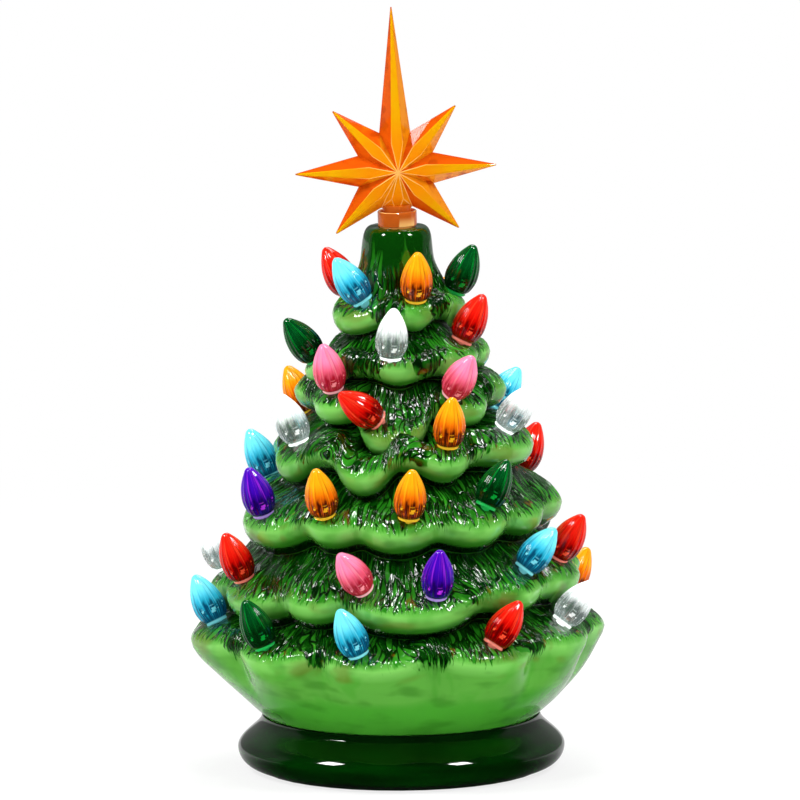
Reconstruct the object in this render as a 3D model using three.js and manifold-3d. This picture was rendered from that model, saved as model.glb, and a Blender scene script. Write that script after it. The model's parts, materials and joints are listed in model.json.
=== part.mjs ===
// A tabletop Christmas tree: a hollow glazed ceramic tree with coloured plastic bulbs and an amber star,
// standing on a ceramic base that holds three cells, a switch and a lamp on a post.
// Millimetres and degrees, +Z up. The front faces -Y, and the origin is on the table under the trunk line.
// A turn is an angle round +Z counted from the front, positive towards +X.

import * as THREE from "three";
import { mergeVertices } from "three/addons/utils/BufferGeometryUtils.js";
import Module from "manifold-3d";

const wasm = await Module();
wasm.setup();

// Gaps between neighbours
const fitGap = 0.3;
const slideGap = 0.4;

// Base and the felt ring under it
const feltThickness = 1.0;
const feltInner = 64.5;
const feltOuter = 70;
const baseHeight = 27;
const footRadius = 71;
const bellyRadius = 81;
const bellyHeight = 10.7;
const neckRadius = 69;
const openingRadius = 58;
const ledgeWidth = 4.3;
const ledgeThickness = 5;
const baseWall = 7.5;
const collarHeight = 6;
const collarWall = 4;
const collarPlay = 0.9;
const lipUndercut = 3;
const bellyFloorRise = 3;

// Ceramic tree: heights here are above its bottom rim
const rimWall = 6;
const skirtRadius = 91.5;
const skirtHeight = 23;
const waistRadius = 79.5;
const waistHeight = 10.5;
const kneeRadius = 72.4;
const kneeHeight = 3.8;
const skirtWall = 6.5;
const wall = 5;
const lipWall = 9;
const capHeight = 19.2;
const capRadius = 16.2;
const capEdge = 2.4;
const capFlareRadius = 19;
const capFlareRise = 21.5;
const capThickness = 6;
const starHoleRadius = 8.3;
const lipNose = 3;
const lipShoulder = 5;
const lipUnder = 7;
const creaseWidth = 1.6;
const deepestCrease = 1.5;

// Tiers of branches, from the top. Each lobe is [turn, half width, extra reach, extra height]. Each bulb is
// [turn, climb up the slope from the tier's seat, lean outwards, lean towards a rising turn, colour].
const tiers = [
  {
    height: 203, reach: 31, scallop: 4, lift: 4, inset: 8, drop: 9, seatInset: 6.5, seatRise: 6.5,
    lobes: [[20, 27, 0, -3], [88, 37, 3, 1], [160, 36, 0, 2], [-128, 36, 0, -4], [-56, 36, 4, -3]],
    bulbs: [[-40, 2, 22, -23, "blue"], [-112, -3, 30, 2, "red"], [22, 1, 15, -3, "orange"],
      [92, -1, 22, -6, "green"]],
  },
  {
    height: 179, reach: 44, scallop: 4, lift: 3, inset: 9, drop: 10, seatInset: 7, seatRise: 6.5,
    lobes: [[0, 23, -1, -3], [52, 26, 1, 2], [98, 24, 2, 1], [150, 30, 0, 3], [-154, 30, 0, 2],
      [-96, 26, 3, -8], [-50, 22, -2, 1]],
    bulbs: [[-6, -3.5, 6, 5, "clear"], [61, 1.5, 22, 13, "red"], [-88, -1.5, 36, 8, "green"]],
  },
  {
    height: 159, reach: 53, scallop: 5, lift: 3, inset: 9, drop: 10, seatInset: 8, seatRise: 8.5,
    lobes: [[-4, 22, 1, -16], [48, 20, 0, -3], [97, 25, 1, 3], [145, 25, 0, 2], [-165, 28, 0, 2],
      [-102, 26, 0, 2], [-45, 19, 0, -1]],
    bulbs: [[-48, 1, 22, 7, "pink"], [36, -2.5, 36, 4, "pink"], [-13, 0.5, 29, -41, "red"]],
  },
  {
    height: 132, reach: 65, scallop: 5, lift: 3, inset: 10, drop: 11, seatInset: 8, seatRise: 10,
    lobes: [[-18, 15, 1, -7], [23, 15, 0, -1], [68, 25, 4, 4], [112, 24, 3, 2], [165, 24, 0, 2],
      [-148, 23, 0, 0], [-107, 20, 0, -2], [-68, 20, 0, -7]],
    bulbs: [[-124, -1.5, 26, 6, "orange"], [127, 0, 42, 0, "blue"], [25, -1, 13, 0, "orange"],
      [62, 2, 32, 10, "clear"], [-66, 2.5, 18, -9, "clear"], [170, 0, 25, 0, "purple"]],
  },
  {
    height: 99.5, reach: 79, scallop: 4.5, lift: 3, inset: 10, drop: 12, seatInset: 8, seatRise: 10,
    lobes: [[-1, 16, 1, 0.5], [31, 16, 1, 2], [61, 14, 0, 3], [93, 17, 2, 5], [130, 20, 0, 4],
      [170, 20, 0, 3], [-152, 19, 0, 2], [-110, 20, 1, 4], [-67, 24, 2, -3], [-28, 14, 0, 1.5]],
    bulbs: [[-117, -1.5, 24, 7, "blue"], [-64, -3, 20, 2, "purple"], [-30.5, -4, 18, -1, "orange"],
      [3.5, -2.5, 11, 4, "orange"], [36.5, -0.5, 8, 26, "green"], [-175, 0, 26, 0, "clear"],
      [150, 0, 26, 0, "pink"]],
  },
  {
    height: 66.5, reach: 92, scallop: 5.5, lift: 3, inset: 10, drop: 12, seatInset: 8, seatRise: 10,
    lobes: [[4, 22, 1, -4], [42, 15, 0, 3], [70, 16, 1, 5], [105, 19, 0, 5], [143, 19, 0, 4],
      [-178, 20, 0, 3], [-140, 19, 0, 1], [-99, 20, 3, -5], [-61, 20, 1, -4], [-31, 13, 0, -1]],
    bulbs: [[-98, -1, 20, 8, "clear"], [-66, 0, 24, 0, "red"], [-12.5, -1, 31, -22, "pink"],
      [12, -2, 18, 1, "purple"], [48, 0.5, 22, 30, "blue"], [69.5, 1.5, 32, -3, "red"],
      [125, 0, 26, 0, "green"], [165, 0, 26, 0, "orange"]],
  },
  {
    height: 39, reach: 102, scallop: 6, lift: 3, inset: 10, drop: 12, seatInset: 8, seatRise: 8.5,
    lobes: [[-9, 17, 0, -2], [28, 17, 0, -1], [60, 16, 0, 3], [93, 18, -0.3, 3], [132, 20, 0, 4],
      [172, 19, 0, 3], [-150, 19, 0, 2], [-113, 18, 1, 0], [-81, 21, 2.6, 0], [-42, 17, 0, -2]],
    bulbs: [[-78, 4, 23, -14, "blue"], [-44.5, -2, 18, -14, "green"], [-12.5, -2, 14, -19, "blue"],
      [29, 0.5, 8, 33, "red"], [60, 2.5, 28, 25, "clear"], [110, 1, 33, 5, "orange"],
      [175, 0, 22, 0, "red"]],
  },
];
const capFlareHeight = tiers[0].height + capFlareRise;
const capTop = capFlareHeight + capHeight;
const outerSteps = 48;
const cavitySteps = 20;

// Steps round the base and up its outline
const baseSides = 36;
const footSteps = 3;
const neckSteps = 5;

// Flame-shaped bulbs
const bulbLength = 26.2;
const bulbRadius = 8.1;
const bulbBelly = 9;
const bulbCollarRadius = 5.2;
const bulbCollarHeight = 1.3;
const bulbShoulder = 18.5;
const bulbShoulderRadius = 4.9;
const bulbTipRadius = 1.9;
const stemRadius = 2.6;
const stemLength = 8;
const bulbSides = 8;

const colours = {
  red: 0xd8180c,
  orange: 0xf08a10,
  green: 0x0e7a34,
  blue: 0x4cc4e8,
  purple: 0x4a12b8,
  pink: 0xf4708c,
  clear: 0xeef4f6,
};

// Star: eight points round a centre, with a flat-faced front and back
const starCentreRise = 28.8;
const starTopLength = 80.3;
const starSideLength = 49.5;
const starDiagonalLength = 42;
const starValleyRadius = 20.5;
const starHalfDepth = 10.5;
const starFacetRadius = 14.5;
const starFacetHalfAngle = 9.5;
const starLean = 1.3;
const starTurn = 7;
const starStemRadius = 7.2;
const starCupRadius = 9.7;
const starCupWall = 1.3;
const starCupHeight = 7.4;
const starCupFloor = 1.6;
const starPlugRadius = 7.2;
const starPlugLength = 12;

// Bottom plate, battery door and its hinge
const plateThickness = 3;
const doorThickness = 2.4;
const doorTabWidth = 12;
const doorTabReach = 1.6;
const hingePegRadius = 0.6;
const hingePegLength = 1.6;
const hingeHoleRadius = 0.9;

// Cells and their box
const cellRadius = 7.1;
const cellLength = 50.5;
const cellNubRadius = 2.7;
const cellNubLength = 1.2;
const cellPitch = 15;
const contactRoom = 4;
const contactThickness = 0.5;
const contactWidth = 10;
const springRadius = 3.4;
const boxWall = 2;
const boxHeadroom = 1.2;
const tagWidth = 2.4;
const tagReach = 2;

// Switch
const switchDistance = 42;
const switchLength = 17;
const switchWidth = 11;
const switchHeight = 8;
const switchWall = 2;
const sliderTravel = 4;
const sliderKnob = 3.6;
const sliderPlate = 1.2;
const sliderDrop = 1.2;

// Lamp on its post, and the wires
const postRadius = 5;
const postWall = 1.6;
const postFlangeRadius = 10;
const postFlangeThickness = 2;
const postHeight = 54;
const postSlotWidth = 6.4;
const postSlotHeight = 9;
const boardRadius = 10;
const boardThickness = 1.6;
const ledRadius = 8;
const ledHeight = 13;
const wireRadius = 0.7;
const wireSpacing = 2.8;

// Heights above the table that follow from the sizes above
const baseBottom = feltThickness + fitGap;
const rebateRadius = openingRadius + ledgeWidth;
const treeSeat = baseHeight + fitGap;
const rimInner = neckRadius - rimWall;
const plateRadius = rebateRadius - fitGap;
const plateBottom = 3.9;
const plateTop = plateBottom + plateThickness;
const ledgeBottom = plateTop + fitGap;
const cellHeight = plateBottom + doorThickness + fitGap + cellRadius;
const boxInnerLength = cellLength + 2 * contactRoom;
const boxInnerWidth = 2 * cellPitch + 2 * cellRadius + 2 * slideGap;
const boxLength = boxInnerLength + 2 * boxWall;
const boxWidth = boxInnerWidth + 2 * boxWall;
const boxBottom = plateTop + fitGap;
const boxCeiling = cellHeight + cellRadius + boxHeadroom;
const boxTop = boxCeiling + boxWall;
const postBottom = boxTop + fitGap;
const postTop = postBottom + postHeight;
const boardBottom = postTop + fitGap;

// Straight from a turn in degrees to a unit vector in plan
function outward(turn) {
  const angle = THREE.MathUtils.degToRad(turn);
  return new THREE.Vector3(Math.sin(angle), -Math.cos(angle), 0);
}

function sideways(turn) {
  return outward(turn + 90);
}

// Keeps an angle between -180 and 180 degrees
function wrapped(angle) {
  return angle - 360 * Math.round(angle / 360);
}

// Merges shared vertices and drops triangles that have no area left
function welded(geometry) {
  const bare = geometry.clone();
  bare.deleteAttribute("normal");
  bare.deleteAttribute("uv");
  const merged = mergeVertices(bare, 1e-4);
  const kept = [];
  const index = merged.getIndex().array;
  for (let i = 0; i < index.length; i += 3) {
    const [a, b, c] = [index[i], index[i + 1], index[i + 2]];
    if (a !== b && b !== c && c !== a) kept.push(a, b, c);
  }
  merged.setIndex(kept);
  return merged;
}

function toSolid(geometry) {
  const merged = welded(geometry);
  return new wasm.Manifold(new wasm.Mesh({
    numProp: 3,
    vertProperties: new Float32Array(merged.getAttribute("position").array),
    triVerts: new Uint32Array(merged.getIndex().array),
  }));
}

function toGeometry(solid) {
  const mesh = solid.getMesh();
  const geometry = new THREE.BufferGeometry();
  geometry.setAttribute("position", new THREE.BufferAttribute(new Float32Array(mesh.vertProperties), 3));
  geometry.setIndex(Array.from(mesh.triVerts));
  return geometry;
}

function joined(geometries) {
  return toGeometry(geometries.map(toSolid).reduce((sum, next) => sum.add(next)));
}

function cutFrom(geometry, cutters) {
  return toGeometry(cutters.map(toSolid).reduce((rest, cutter) => rest.subtract(cutter), toSolid(geometry)));
}

// A body turned round Z. The profile is [radius, height] pairs, anticlockwise seen with radius to the right.
function turned(profile, sides) {
  const points = profile.map(([radius, height]) => new THREE.Vector2(radius, height));
  return new THREE.LatheGeometry(points, sides).rotateX(Math.PI / 2);
}

function ring(inner, outer, bottom, top, sides) {
  return turned([[inner, bottom], [outer, bottom], [outer, top], [inner, top], [inner, bottom]], sides);
}

function disc(radius, bottom, top, sides) {
  return turned([[0, bottom], [radius, bottom], [radius, top], [0, top]], sides);
}

// A box from its lowest and highest corners
function block(low, high) {
  const size = high.map((value, i) => value - low[i]);
  const centre = high.map((value, i) => (value + low[i]) / 2);
  return new THREE.BoxGeometry(...size).translate(...centre);
}

// A round wire along points chosen by hand
function wire(points, steps) {
  const section = new THREE.Shape();
  section.absarc(0, 0, wireRadius, 0, 2 * Math.PI);
  const vectors = points.map((point) => new THREE.Vector3(...point));
  const extrudePath = new THREE.CatmullRomCurve3(vectors, false, "chordal");
  return new THREE.ExtrudeGeometry(section, { steps, extrudePath, bevelEnabled: false, curveSegments: 4 });
}

// Skins a stack of rings of points, from the bottom up, and closes both ends
function skinned(rings) {
  const sides = rings[0].length;
  const positions = rings.flat().flatMap((point) => point.toArray());
  const index = [];
  for (let level = 0; level + 1 < rings.length; level += 1) {
    for (let side = 0; side < sides; side += 1) {
      const next = (side + 1) % sides;
      const [a, b] = [level * sides + side, level * sides + next];
      index.push(a, b, b + sides, a, b + sides, a + sides);
    }
  }
  for (const [level, flip] of [[0, true], [rings.length - 1, false]]) {
    const centre = new THREE.Vector3();
    rings[level].forEach((point) => centre.addScaledVector(point, 1 / sides));
    const hub = positions.length / 3;
    positions.push(...centre.toArray());
    for (let side = 0; side < sides; side += 1) {
      const [a, b] = [level * sides + side, level * sides + (side + 1) % sides];
      index.push(...(flip ? [hub, b, a] : [hub, a, b]));
    }
  }
  const geometry = new THREE.BufferGeometry();
  geometry.setAttribute("position", new THREE.Float32BufferAttribute(positions, 3));
  geometry.setIndex(index);
  return geometry;
}

// Where a tier's lip is at a turn: the lobes meet in soft creases
function lipAt(tier, turn) {
  let total = 0;
  let reach = 0;
  let height = 0;
  for (const [middle, halfWidth, extraReach, extraHeight] of tier.lobes) {
    const off = Math.min((wrapped(turn - middle) / halfWidth) ** 2, deepestCrease);
    const lobeReach = tier.reach + extraReach - tier.scallop * off;
    const lobeHeight = tier.height + extraHeight + tier.lift * off;
    const weight = Math.exp((lobeReach - tier.reach) / creaseWidth);
    total += weight;
    reach += weight * lobeReach;
    height += weight * lobeHeight;
  }
  return { reach: reach / total, height: height / total };
}

// Where a tier starts under its lip at a turn, as a radius and a height
function tierFoot(tier, turn) {
  const lip = lipAt(tier, turn);
  return [lip.reach - tier.inset, lip.height - tier.drop];
}

// The outer surface at a turn, from the rim up, as [radius, height] pairs
function outerProfile(turn) {
  const points = [[neckRadius, 0], [kneeRadius, kneeHeight], [waistRadius, waistHeight]];
  for (const tier of [...tiers].reverse()) {
    const lip = lipAt(tier, turn);
    const lowest = tier === tiers[tiers.length - 1];
    if (lowest) points.push([skirtRadius + (lip.reach - tier.reach) / 2, skirtHeight]);
    else points.push(tierFoot(tier, turn));
    points.push([lip.reach - lipNose, lip.height - lipUnder]);
    points.push([lip.reach, lip.height]);
    points.push([lip.reach - lipNose, lip.height + lipShoulder]);
    points.push([lip.reach - tier.seatInset, lip.height + tier.seatRise]);
  }
  points.push([capFlareRadius, capFlareHeight]);
  points.push([capRadius, capTop - capEdge]);
  points.push([capRadius - capEdge, capTop]);
  return points;
}

// The hollow inside, from below the rim up
function cavityProfile(turn) {
  const points = [[rimInner, -1], [rimInner, kneeHeight], [waistRadius - skirtWall, waistHeight + skirtWall]];
  for (const tier of [...tiers].reverse()) {
    const lip = lipAt(tier, turn);
    if (tier !== tiers[tiers.length - 1]) {
      const foot = tierFoot(tier, turn);
      points.push([foot[0] - wall, foot[1]]);
    }
    points.push([lip.reach - lipWall, lip.height]);
  }
  points.push([starHoleRadius + 1, capTop - capThickness]);
  return points;
}

function ringsOf(profile, sides) {
  const turns = Array.from({ length: sides }, (_, side) => (360 * side) / sides);
  const profiles = turns.map(profile);
  return profiles[0].map((_, level) => turns.map((turn, side) => {
    const [radius, height] = profiles[side][level];
    return outward(turn).multiplyScalar(radius).setZ(height);
  }));
}

function bulbFigure() {
  return turned([
    [0, -stemLength],
    [stemRadius, -stemLength],
    [stemRadius, 0],
    [bulbCollarRadius, 0],
    [bulbCollarRadius, bulbCollarHeight],
    [bulbRadius, bulbBelly],
    [bulbShoulderRadius, bulbShoulder],
    [bulbTipRadius, bulbLength - 1],
    [0, bulbLength],
  ], bulbSides);
}

// The hole and spot face that a bulb sits in, with a gap all round
function bulbPocket() {
  return turned([
    [0, -stemLength - 2 * lipWall],
    [stemRadius + fitGap, -stemLength - 2 * lipWall],
    [stemRadius + fitGap, -fitGap],
    [bulbCollarRadius + fitGap, -fitGap],
    [bulbRadius + fitGap, bulbBelly],
    [bulbRadius + fitGap, bulbLength],
    [0, bulbLength],
  ], bulbSides);
}

// Where a bulb stands: on the slope up to the tier above, or below the seat on the slope to its own lip
function bulbPlace(tier, [turn, climb, out, side]) {
  const lip = lipAt(tier, turn);
  const seat = new THREE.Vector2(lip.reach - tier.seatInset, lip.height + tier.seatRise);
  const above = tiers[tiers.indexOf(tier) - 1];
  const slopeTop = above ? tierFoot(above, turn) : [capFlareRadius, capFlareHeight];
  const goal = climb < 0 ? [lip.reach - lipNose, lip.height + lipShoulder] : slopeTop;
  seat.addScaledVector(new THREE.Vector2(...goal).sub(seat).normalize(), Math.abs(climb));
  const axis = outward(turn).multiplyScalar(Math.sin(THREE.MathUtils.degToRad(out)));
  axis.addScaledVector(sideways(turn), Math.sin(THREE.MathUtils.degToRad(side)));
  axis.z = Math.sqrt(1 - axis.lengthSq());
  const facing = new THREE.Quaternion().setFromUnitVectors(new THREE.Vector3(0, 0, 1), axis);
  const foot = outward(turn).multiplyScalar(seat.x).setZ(seat.y);
  return new THREE.Matrix4().makeRotationFromQuaternion(facing).setPosition(foot);
}

function placedBulbs() {
  const counts = {};
  return tiers.flatMap((tier) => tier.bulbs.map((row) => {
    const colour = row[row.length - 1];
    counts[colour] = (counts[colour] ?? 0) + 1;
    return { name: `bulb_${colour}_${counts[colour]}`, colour, place: bulbPlace(tier, row) };
  }));
}

// The hollow ceramic tree, with a pocket for each bulb
function ceramicBody(placed) {
  const outside = skinned(ringsOf(outerProfile, outerSteps));
  const cavity = skinned(ringsOf(cavityProfile, cavitySteps));
  const starHole = disc(starHoleRadius, capTop - capThickness - 1, capTop + 1, 16);
  const pockets = placed.map(({ place }) => bulbPocket().applyMatrix4(place));
  return cutFrom(outside, [cavity, starHole, ...pockets]);
}

function starRay(turnFromTop, radius, depth) {
  const angle = THREE.MathUtils.degToRad(turnFromTop);
  return new THREE.Vector3(radius * Math.sin(angle), depth, radius * Math.cos(angle));
}

// The eight-pointed figure about its own centre, front towards -Y
function starFigure() {
  const downLength = starCentreRise - starCupFloor - starCupHeight / 2;
  const lengths = [starTopLength, starDiagonalLength, starSideLength, starDiagonalLength, downLength,
    starDiagonalLength, starSideLength, starDiagonalLength];
  const spread = 360 / lengths.length;
  const positions = [];
  const facet = (a, b, c, back) => {
    const corners = back ? [a, b, c] : [a, c, b];
    corners.forEach((corner) => positions.push(corner.x, back ? -corner.y : corner.y, corner.z));
  };
  for (const back of [false, true]) {
    const middle = new THREE.Vector3(0, -starHalfDepth, 0);
    lengths.forEach((length, i) => {
      const tip = starRay(i * spread, length, 0);
      const depth = -starHalfDepth * (1 - starFacetRadius / length);
      const left = starRay(i * spread - starFacetHalfAngle, starFacetRadius, depth);
      const right = starRay(i * spread + starFacetHalfAngle, starFacetRadius, depth);
      const valleyLeft = starRay((i - 0.5) * spread, starValleyRadius, 0);
      const valleyRight = starRay((i + 0.5) * spread, starValleyRadius, 0);
      facet(middle, left, right, back);
      facet(left, tip, right, back);
      facet(left, valleyLeft, tip, back);
      facet(right, tip, valleyRight, back);
      facet(middle, valleyLeft, left, back);
      facet(middle, right, valleyRight, back);
    });
  }
  const geometry = new THREE.BufferGeometry();
  geometry.setAttribute("position", new THREE.Float32BufferAttribute(positions, 3));
  return mergeVertices(geometry);
}

// The star stands on the cap: its cup rests at height 0 and its plug goes down the hole
function starBody() {
  const figure = starFigure().translate(0, 0, starCentreRise);
  const cup = cutFrom(disc(starCupRadius, 0, starCupHeight, 20),
    [disc(starCupRadius - starCupWall, starCupFloor, starCupHeight + 1, 20)]);
  const stem = disc(starStemRadius, starCupFloor - 0.5, starCentreRise - starValleyRadius + 1, 8);
  const plug = disc(starPlugRadius, -starPlugLength, 0.5, 16);
  return joined([figure, cup, stem, plug]);
}

// The base's outside: a quarter ellipse from the foot to the belly, then a soft S up to the neck
function baseOutline() {
  const points = [];
  for (let step = 0; step <= footSteps; step += 1) {
    const angle = (Math.PI / 2) * (step / footSteps);
    points.push([
      footRadius + (bellyRadius - footRadius) * Math.sin(angle),
      bellyHeight - (bellyHeight - baseBottom) * Math.cos(angle),
    ]);
  }
  for (let step = 1; step <= neckSteps; step += 1) {
    const share = step / neckSteps;
    points.push([
      neckRadius + (bellyRadius - neckRadius) * (1 + Math.cos(Math.PI * share)) / 2,
      bellyHeight + (baseHeight - bellyHeight) * share,
    ]);
  }
  return points;
}

function baseBody() {
  const collarOuter = rimInner - collarPlay;
  const cavityFloor = ledgeBottom + ledgeThickness;
  return turned([
    [rebateRadius, baseBottom],
    ...baseOutline(),
    [collarOuter, baseHeight],
    [collarOuter, baseHeight + collarHeight],
    [collarOuter - collarWall, baseHeight + collarHeight],
    [collarOuter - collarWall, baseHeight - lipUndercut],
    [bellyRadius - baseWall, bellyHeight + bellyFloorRise],
    [bellyRadius - baseWall, cavityFloor],
    [openingRadius, cavityFloor],
    [openingRadius, ledgeBottom],
    [rebateRadius, ledgeBottom],
    [rebateRadius, baseBottom],
  ], baseSides);
}

const doorLow = [-boxInnerLength / 2 + slideGap, -boxInnerWidth / 2 + slideGap];
const doorHigh = [boxInnerLength / 2 - slideGap, boxInnerWidth / 2 - slideGap];
const hingeX = doorLow[0] + doorThickness / 2;
const hingeZ = plateBottom + doorThickness / 2;

// A round bar along Y
function barAlongY(radius, low, high, sides) {
  return disc(radius, low, high, sides).rotateX(-Math.PI / 2);
}

function plateBody() {
  const knobRoom = sliderKnob / 2 + slideGap;
  const slot = block(
    [-sliderTravel / 2 - knobRoom, -switchDistance - knobRoom, plateBottom - 1],
    [sliderTravel / 2 + knobRoom, -switchDistance + knobRoom, plateTop + 1],
  );
  const opening = block(
    [-boxInnerLength / 2, -boxInnerWidth / 2, plateBottom - 1],
    [boxInnerLength / 2, boxInnerWidth / 2, plateTop + 1],
  );
  const catchNotch = block(
    [boxInnerLength / 2 - 1, -doorTabWidth / 2 - slideGap, plateBottom - 1],
    [boxInnerLength / 2 + doorTabReach + slideGap, doorTabWidth / 2 + slideGap, plateTop + 1],
  );
  const pegReach = boxInnerWidth / 2 + hingePegLength + slideGap;
  const pegHole = barAlongY(hingeHoleRadius, -pegReach, pegReach, 10).translate(hingeX, 0, hingeZ);
  return cutFrom(disc(plateRadius, plateBottom, plateTop, 48), [slot, opening, catchNotch, pegHole]);
}

// The door has a round hinge edge with a peg at each end, and a catch on the far edge
function doorBody() {
  const leaf = block(
    [hingeX, doorLow[1], plateBottom],
    [doorHigh[0], doorHigh[1], plateBottom + doorThickness],
  );
  const edge = barAlongY(doorThickness / 2, doorLow[1], doorHigh[1], 12).translate(hingeX, 0, hingeZ);
  const pegs = barAlongY(hingePegRadius, doorLow[1] - hingePegLength, doorHigh[1] + hingePegLength, 10)
    .translate(hingeX, 0, hingeZ);
  const tab = block(
    [doorHigh[0] - 1, -doorTabWidth / 2, plateBottom + doorThickness / 2],
    [doorHigh[0] + doorTabReach, doorTabWidth / 2, plateBottom + doorThickness],
  );
  const thumb = block(
    [doorHigh[0] - 5, -doorTabWidth / 2, plateBottom - 1],
    [doorHigh[0] - 2, doorTabWidth / 2, plateBottom + 0.8],
  );
  return cutFrom(joined([leaf, edge, pegs, tab]), [thumb]);
}

const tagHeight = cellHeight + cellRadius - 1;

function boxBody() {
  const tagRoom = tagWidth / 2 + fitGap;
  const wallMiddle = (boxInnerLength + boxWall) / 2;
  const tagSlot = (side) => block(
    [side * wallMiddle - boxWall, side * cellPitch - tagRoom, tagHeight - tagRoom / 2],
    [side * wallMiddle + boxWall, side * cellPitch + tagRoom, tagHeight + tagRoom / 2],
  );
  const shell = block([-boxLength / 2, -boxWidth / 2, boxBottom], [boxLength / 2, boxWidth / 2, boxTop]);
  const room = block(
    [-boxInnerLength / 2, -boxInnerWidth / 2, boxBottom - 1],
    [boxInnerLength / 2, boxInnerWidth / 2, boxCeiling],
  );
  return cutFrom(shell, [room, tagSlot(-1), tagSlot(1)]);
}

// A cell lies along X with its nub towards +X before it is turned
function cellBody() {
  const body = turned([
    [0, -cellLength / 2],
    [cellRadius, -cellLength / 2],
    [cellRadius, cellLength / 2 - cellNubLength],
    [cellNubRadius, cellLength / 2 - cellNubLength],
    [cellNubRadius, cellLength / 2],
    [0, cellLength / 2],
  ], 14);
  return body.rotateY(Math.PI / 2);
}

// A contact strip stands at the box's +X end and reaches back to the cell ends at the given rows
function contactBody(rows, withTag) {
  const face = boxInnerLength / 2 - fitGap;
  const cellFace = cellLength / 2 + fitGap;
  const low = Math.min(...rows.map((row) => row.at)) - contactWidth / 2;
  const high = Math.max(...rows.map((row) => row.at)) + contactWidth / 2;
  const parts = [block(
    [face - contactThickness, low, cellHeight - contactWidth / 2],
    [face, high, cellHeight + contactWidth / 2],
  )];
  for (const row of rows) {
    const [base, tip] = row.spring ? [springRadius, springRadius - 1] : [cellNubRadius, cellNubRadius - 0.8];
    const stand = turned([[0, cellFace], [tip, cellFace], [base, face - 0.1], [0, face - 0.1]], 8);
    parts.push(stand.rotateY(Math.PI / 2).translate(0, row.at, cellHeight));
  }
  if (withTag) {
    parts.push(block(
      [face - contactThickness, rows[0].at - tagWidth / 2, cellHeight],
      [face, rows[0].at + tagWidth / 2, tagHeight + contactThickness / 2],
    ));
    parts.push(block(
      [face - contactThickness, rows[0].at - tagWidth / 2, tagHeight - contactThickness / 2],
      [boxLength / 2 + tagReach, rows[0].at + tagWidth / 2, tagHeight + contactThickness / 2],
    ));
  }
  return joined(parts);
}

function switchBody() {
  const bottom = plateTop + fitGap;
  const top = bottom + switchHeight;
  const [halfLength, halfWidth] = [switchLength / 2, switchWidth / 2];
  const shell = block(
    [-halfLength, -switchDistance - halfWidth, bottom],
    [halfLength, -switchDistance + halfWidth, top],
  );
  const room = block(
    [-halfLength + switchWall, -switchDistance - halfWidth + switchWall, bottom - 1],
    [halfLength - switchWall, -switchDistance + halfWidth - switchWall, top - switchWall],
  );
  return cutFrom(shell, [room]);
}

// The slider rests at the off end, towards -X
function sliderBody() {
  const middle = -sliderTravel / 2;
  const roomLength = switchLength - 2 * switchWall;
  const flangeLength = roomLength - sliderTravel - 2 * slideGap;
  const flangeWidth = switchWidth - 2 * switchWall - 2 * slideGap;
  const bottom = plateTop + fitGap;
  const flange = block(
    [middle - flangeLength / 2, -switchDistance - flangeWidth / 2, bottom],
    [middle + flangeLength / 2, -switchDistance + flangeWidth / 2, bottom + sliderPlate],
  );
  const knob = block(
    [middle - sliderKnob / 2, -switchDistance - sliderKnob / 2, plateBottom - sliderDrop],
    [middle + sliderKnob / 2, -switchDistance + sliderKnob / 2, bottom + sliderPlate / 2],
  );
  return joined([flange, knob]);
}

function postBody() {
  const flangeTop = postBottom + postFlangeThickness;
  const bore = disc(postRadius - postWall, flangeTop, postTop + 1, 16);
  const slot = block(
    [-postSlotWidth / 2, -postRadius - 1, flangeTop],
    [postSlotWidth / 2, 0, flangeTop + postSlotHeight],
  );
  return cutFrom(
    joined([disc(postFlangeRadius, postBottom, flangeTop, 24), disc(postRadius, postBottom, postTop, 16)]),
    [bore, slot],
  );
}

function boardBody() {
  return disc(boardRadius, boardBottom, boardBottom + boardThickness, 24);
}

function ledBody() {
  const bottom = boardBottom + boardThickness + fitGap;
  return turned([
    [0, bottom],
    [ledRadius - 1, bottom],
    [ledRadius - 1, bottom + 2],
    [ledRadius, bottom + ledHeight * 0.45],
    [ledRadius * 0.75, bottom + ledHeight * 0.85],
    [0, bottom + ledHeight],
  ], 16);
}

// Wires run from the cell tags and the switch over the box and up inside the post
function wireBodies() {
  const tagEnd = boxLength / 2 + tagReach + wireRadius;
  const tagSide = tagHeight + contactThickness / 2 + fitGap + wireRadius;
  const switchTop = plateTop + fitGap + switchHeight + fitGap;
  const overBox = boxTop + fitGap + postFlangeThickness + wireRadius + 1.5;
  const boardFace = postTop - fitGap;
  const slotMouth = postFlangeRadius + 2;
  const half = wireSpacing / 2;
  return {
    wire_battery: wire([
      [-tagEnd, -cellPitch, tagSide + 1], [-tagEnd - 2, -cellPitch - 4, tagSide + 2.5],
      [-tagEnd - 2, -cellPitch - 14, tagSide], [-20, -switchDistance, tagSide - 1],
      [-9, -switchDistance, switchTop + 4.5], [-4, -switchDistance, switchTop + 3],
      [-3, -switchDistance, switchTop],
    ], 16),
    wire_lamp: wire([
      [3, -switchDistance, switchTop], [3, -switchDistance + 1, switchTop + 5],
      [1, -boxWidth / 2 - 4, overBox - 1], [-half, -slotMouth - 4, overBox],
      [-half, -slotMouth + 4, overBox + 0.5], [-half, -postRadius, overBox + 2.5],
      [-half, -1.2, overBox + 8], [-half, 0, overBox + 18], [-half, 0, boardFace],
    ], 22),
    wire_return: wire([
      [tagEnd, cellPitch, tagSide + 1], [tagEnd + 1.5, cellPitch - 3, tagSide + 4],
      [tagEnd - 4, 2, overBox], [20, -10, overBox], [9, -slotMouth - 2, overBox],
      [half + 0.6, -slotMouth, overBox + 0.5], [half, -postRadius, overBox + 2.5],
      [half, -1.2, overBox + 8], [half, 0, overBox + 18], [half, 0, boardFace],
    ], 26),
  };
}

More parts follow.
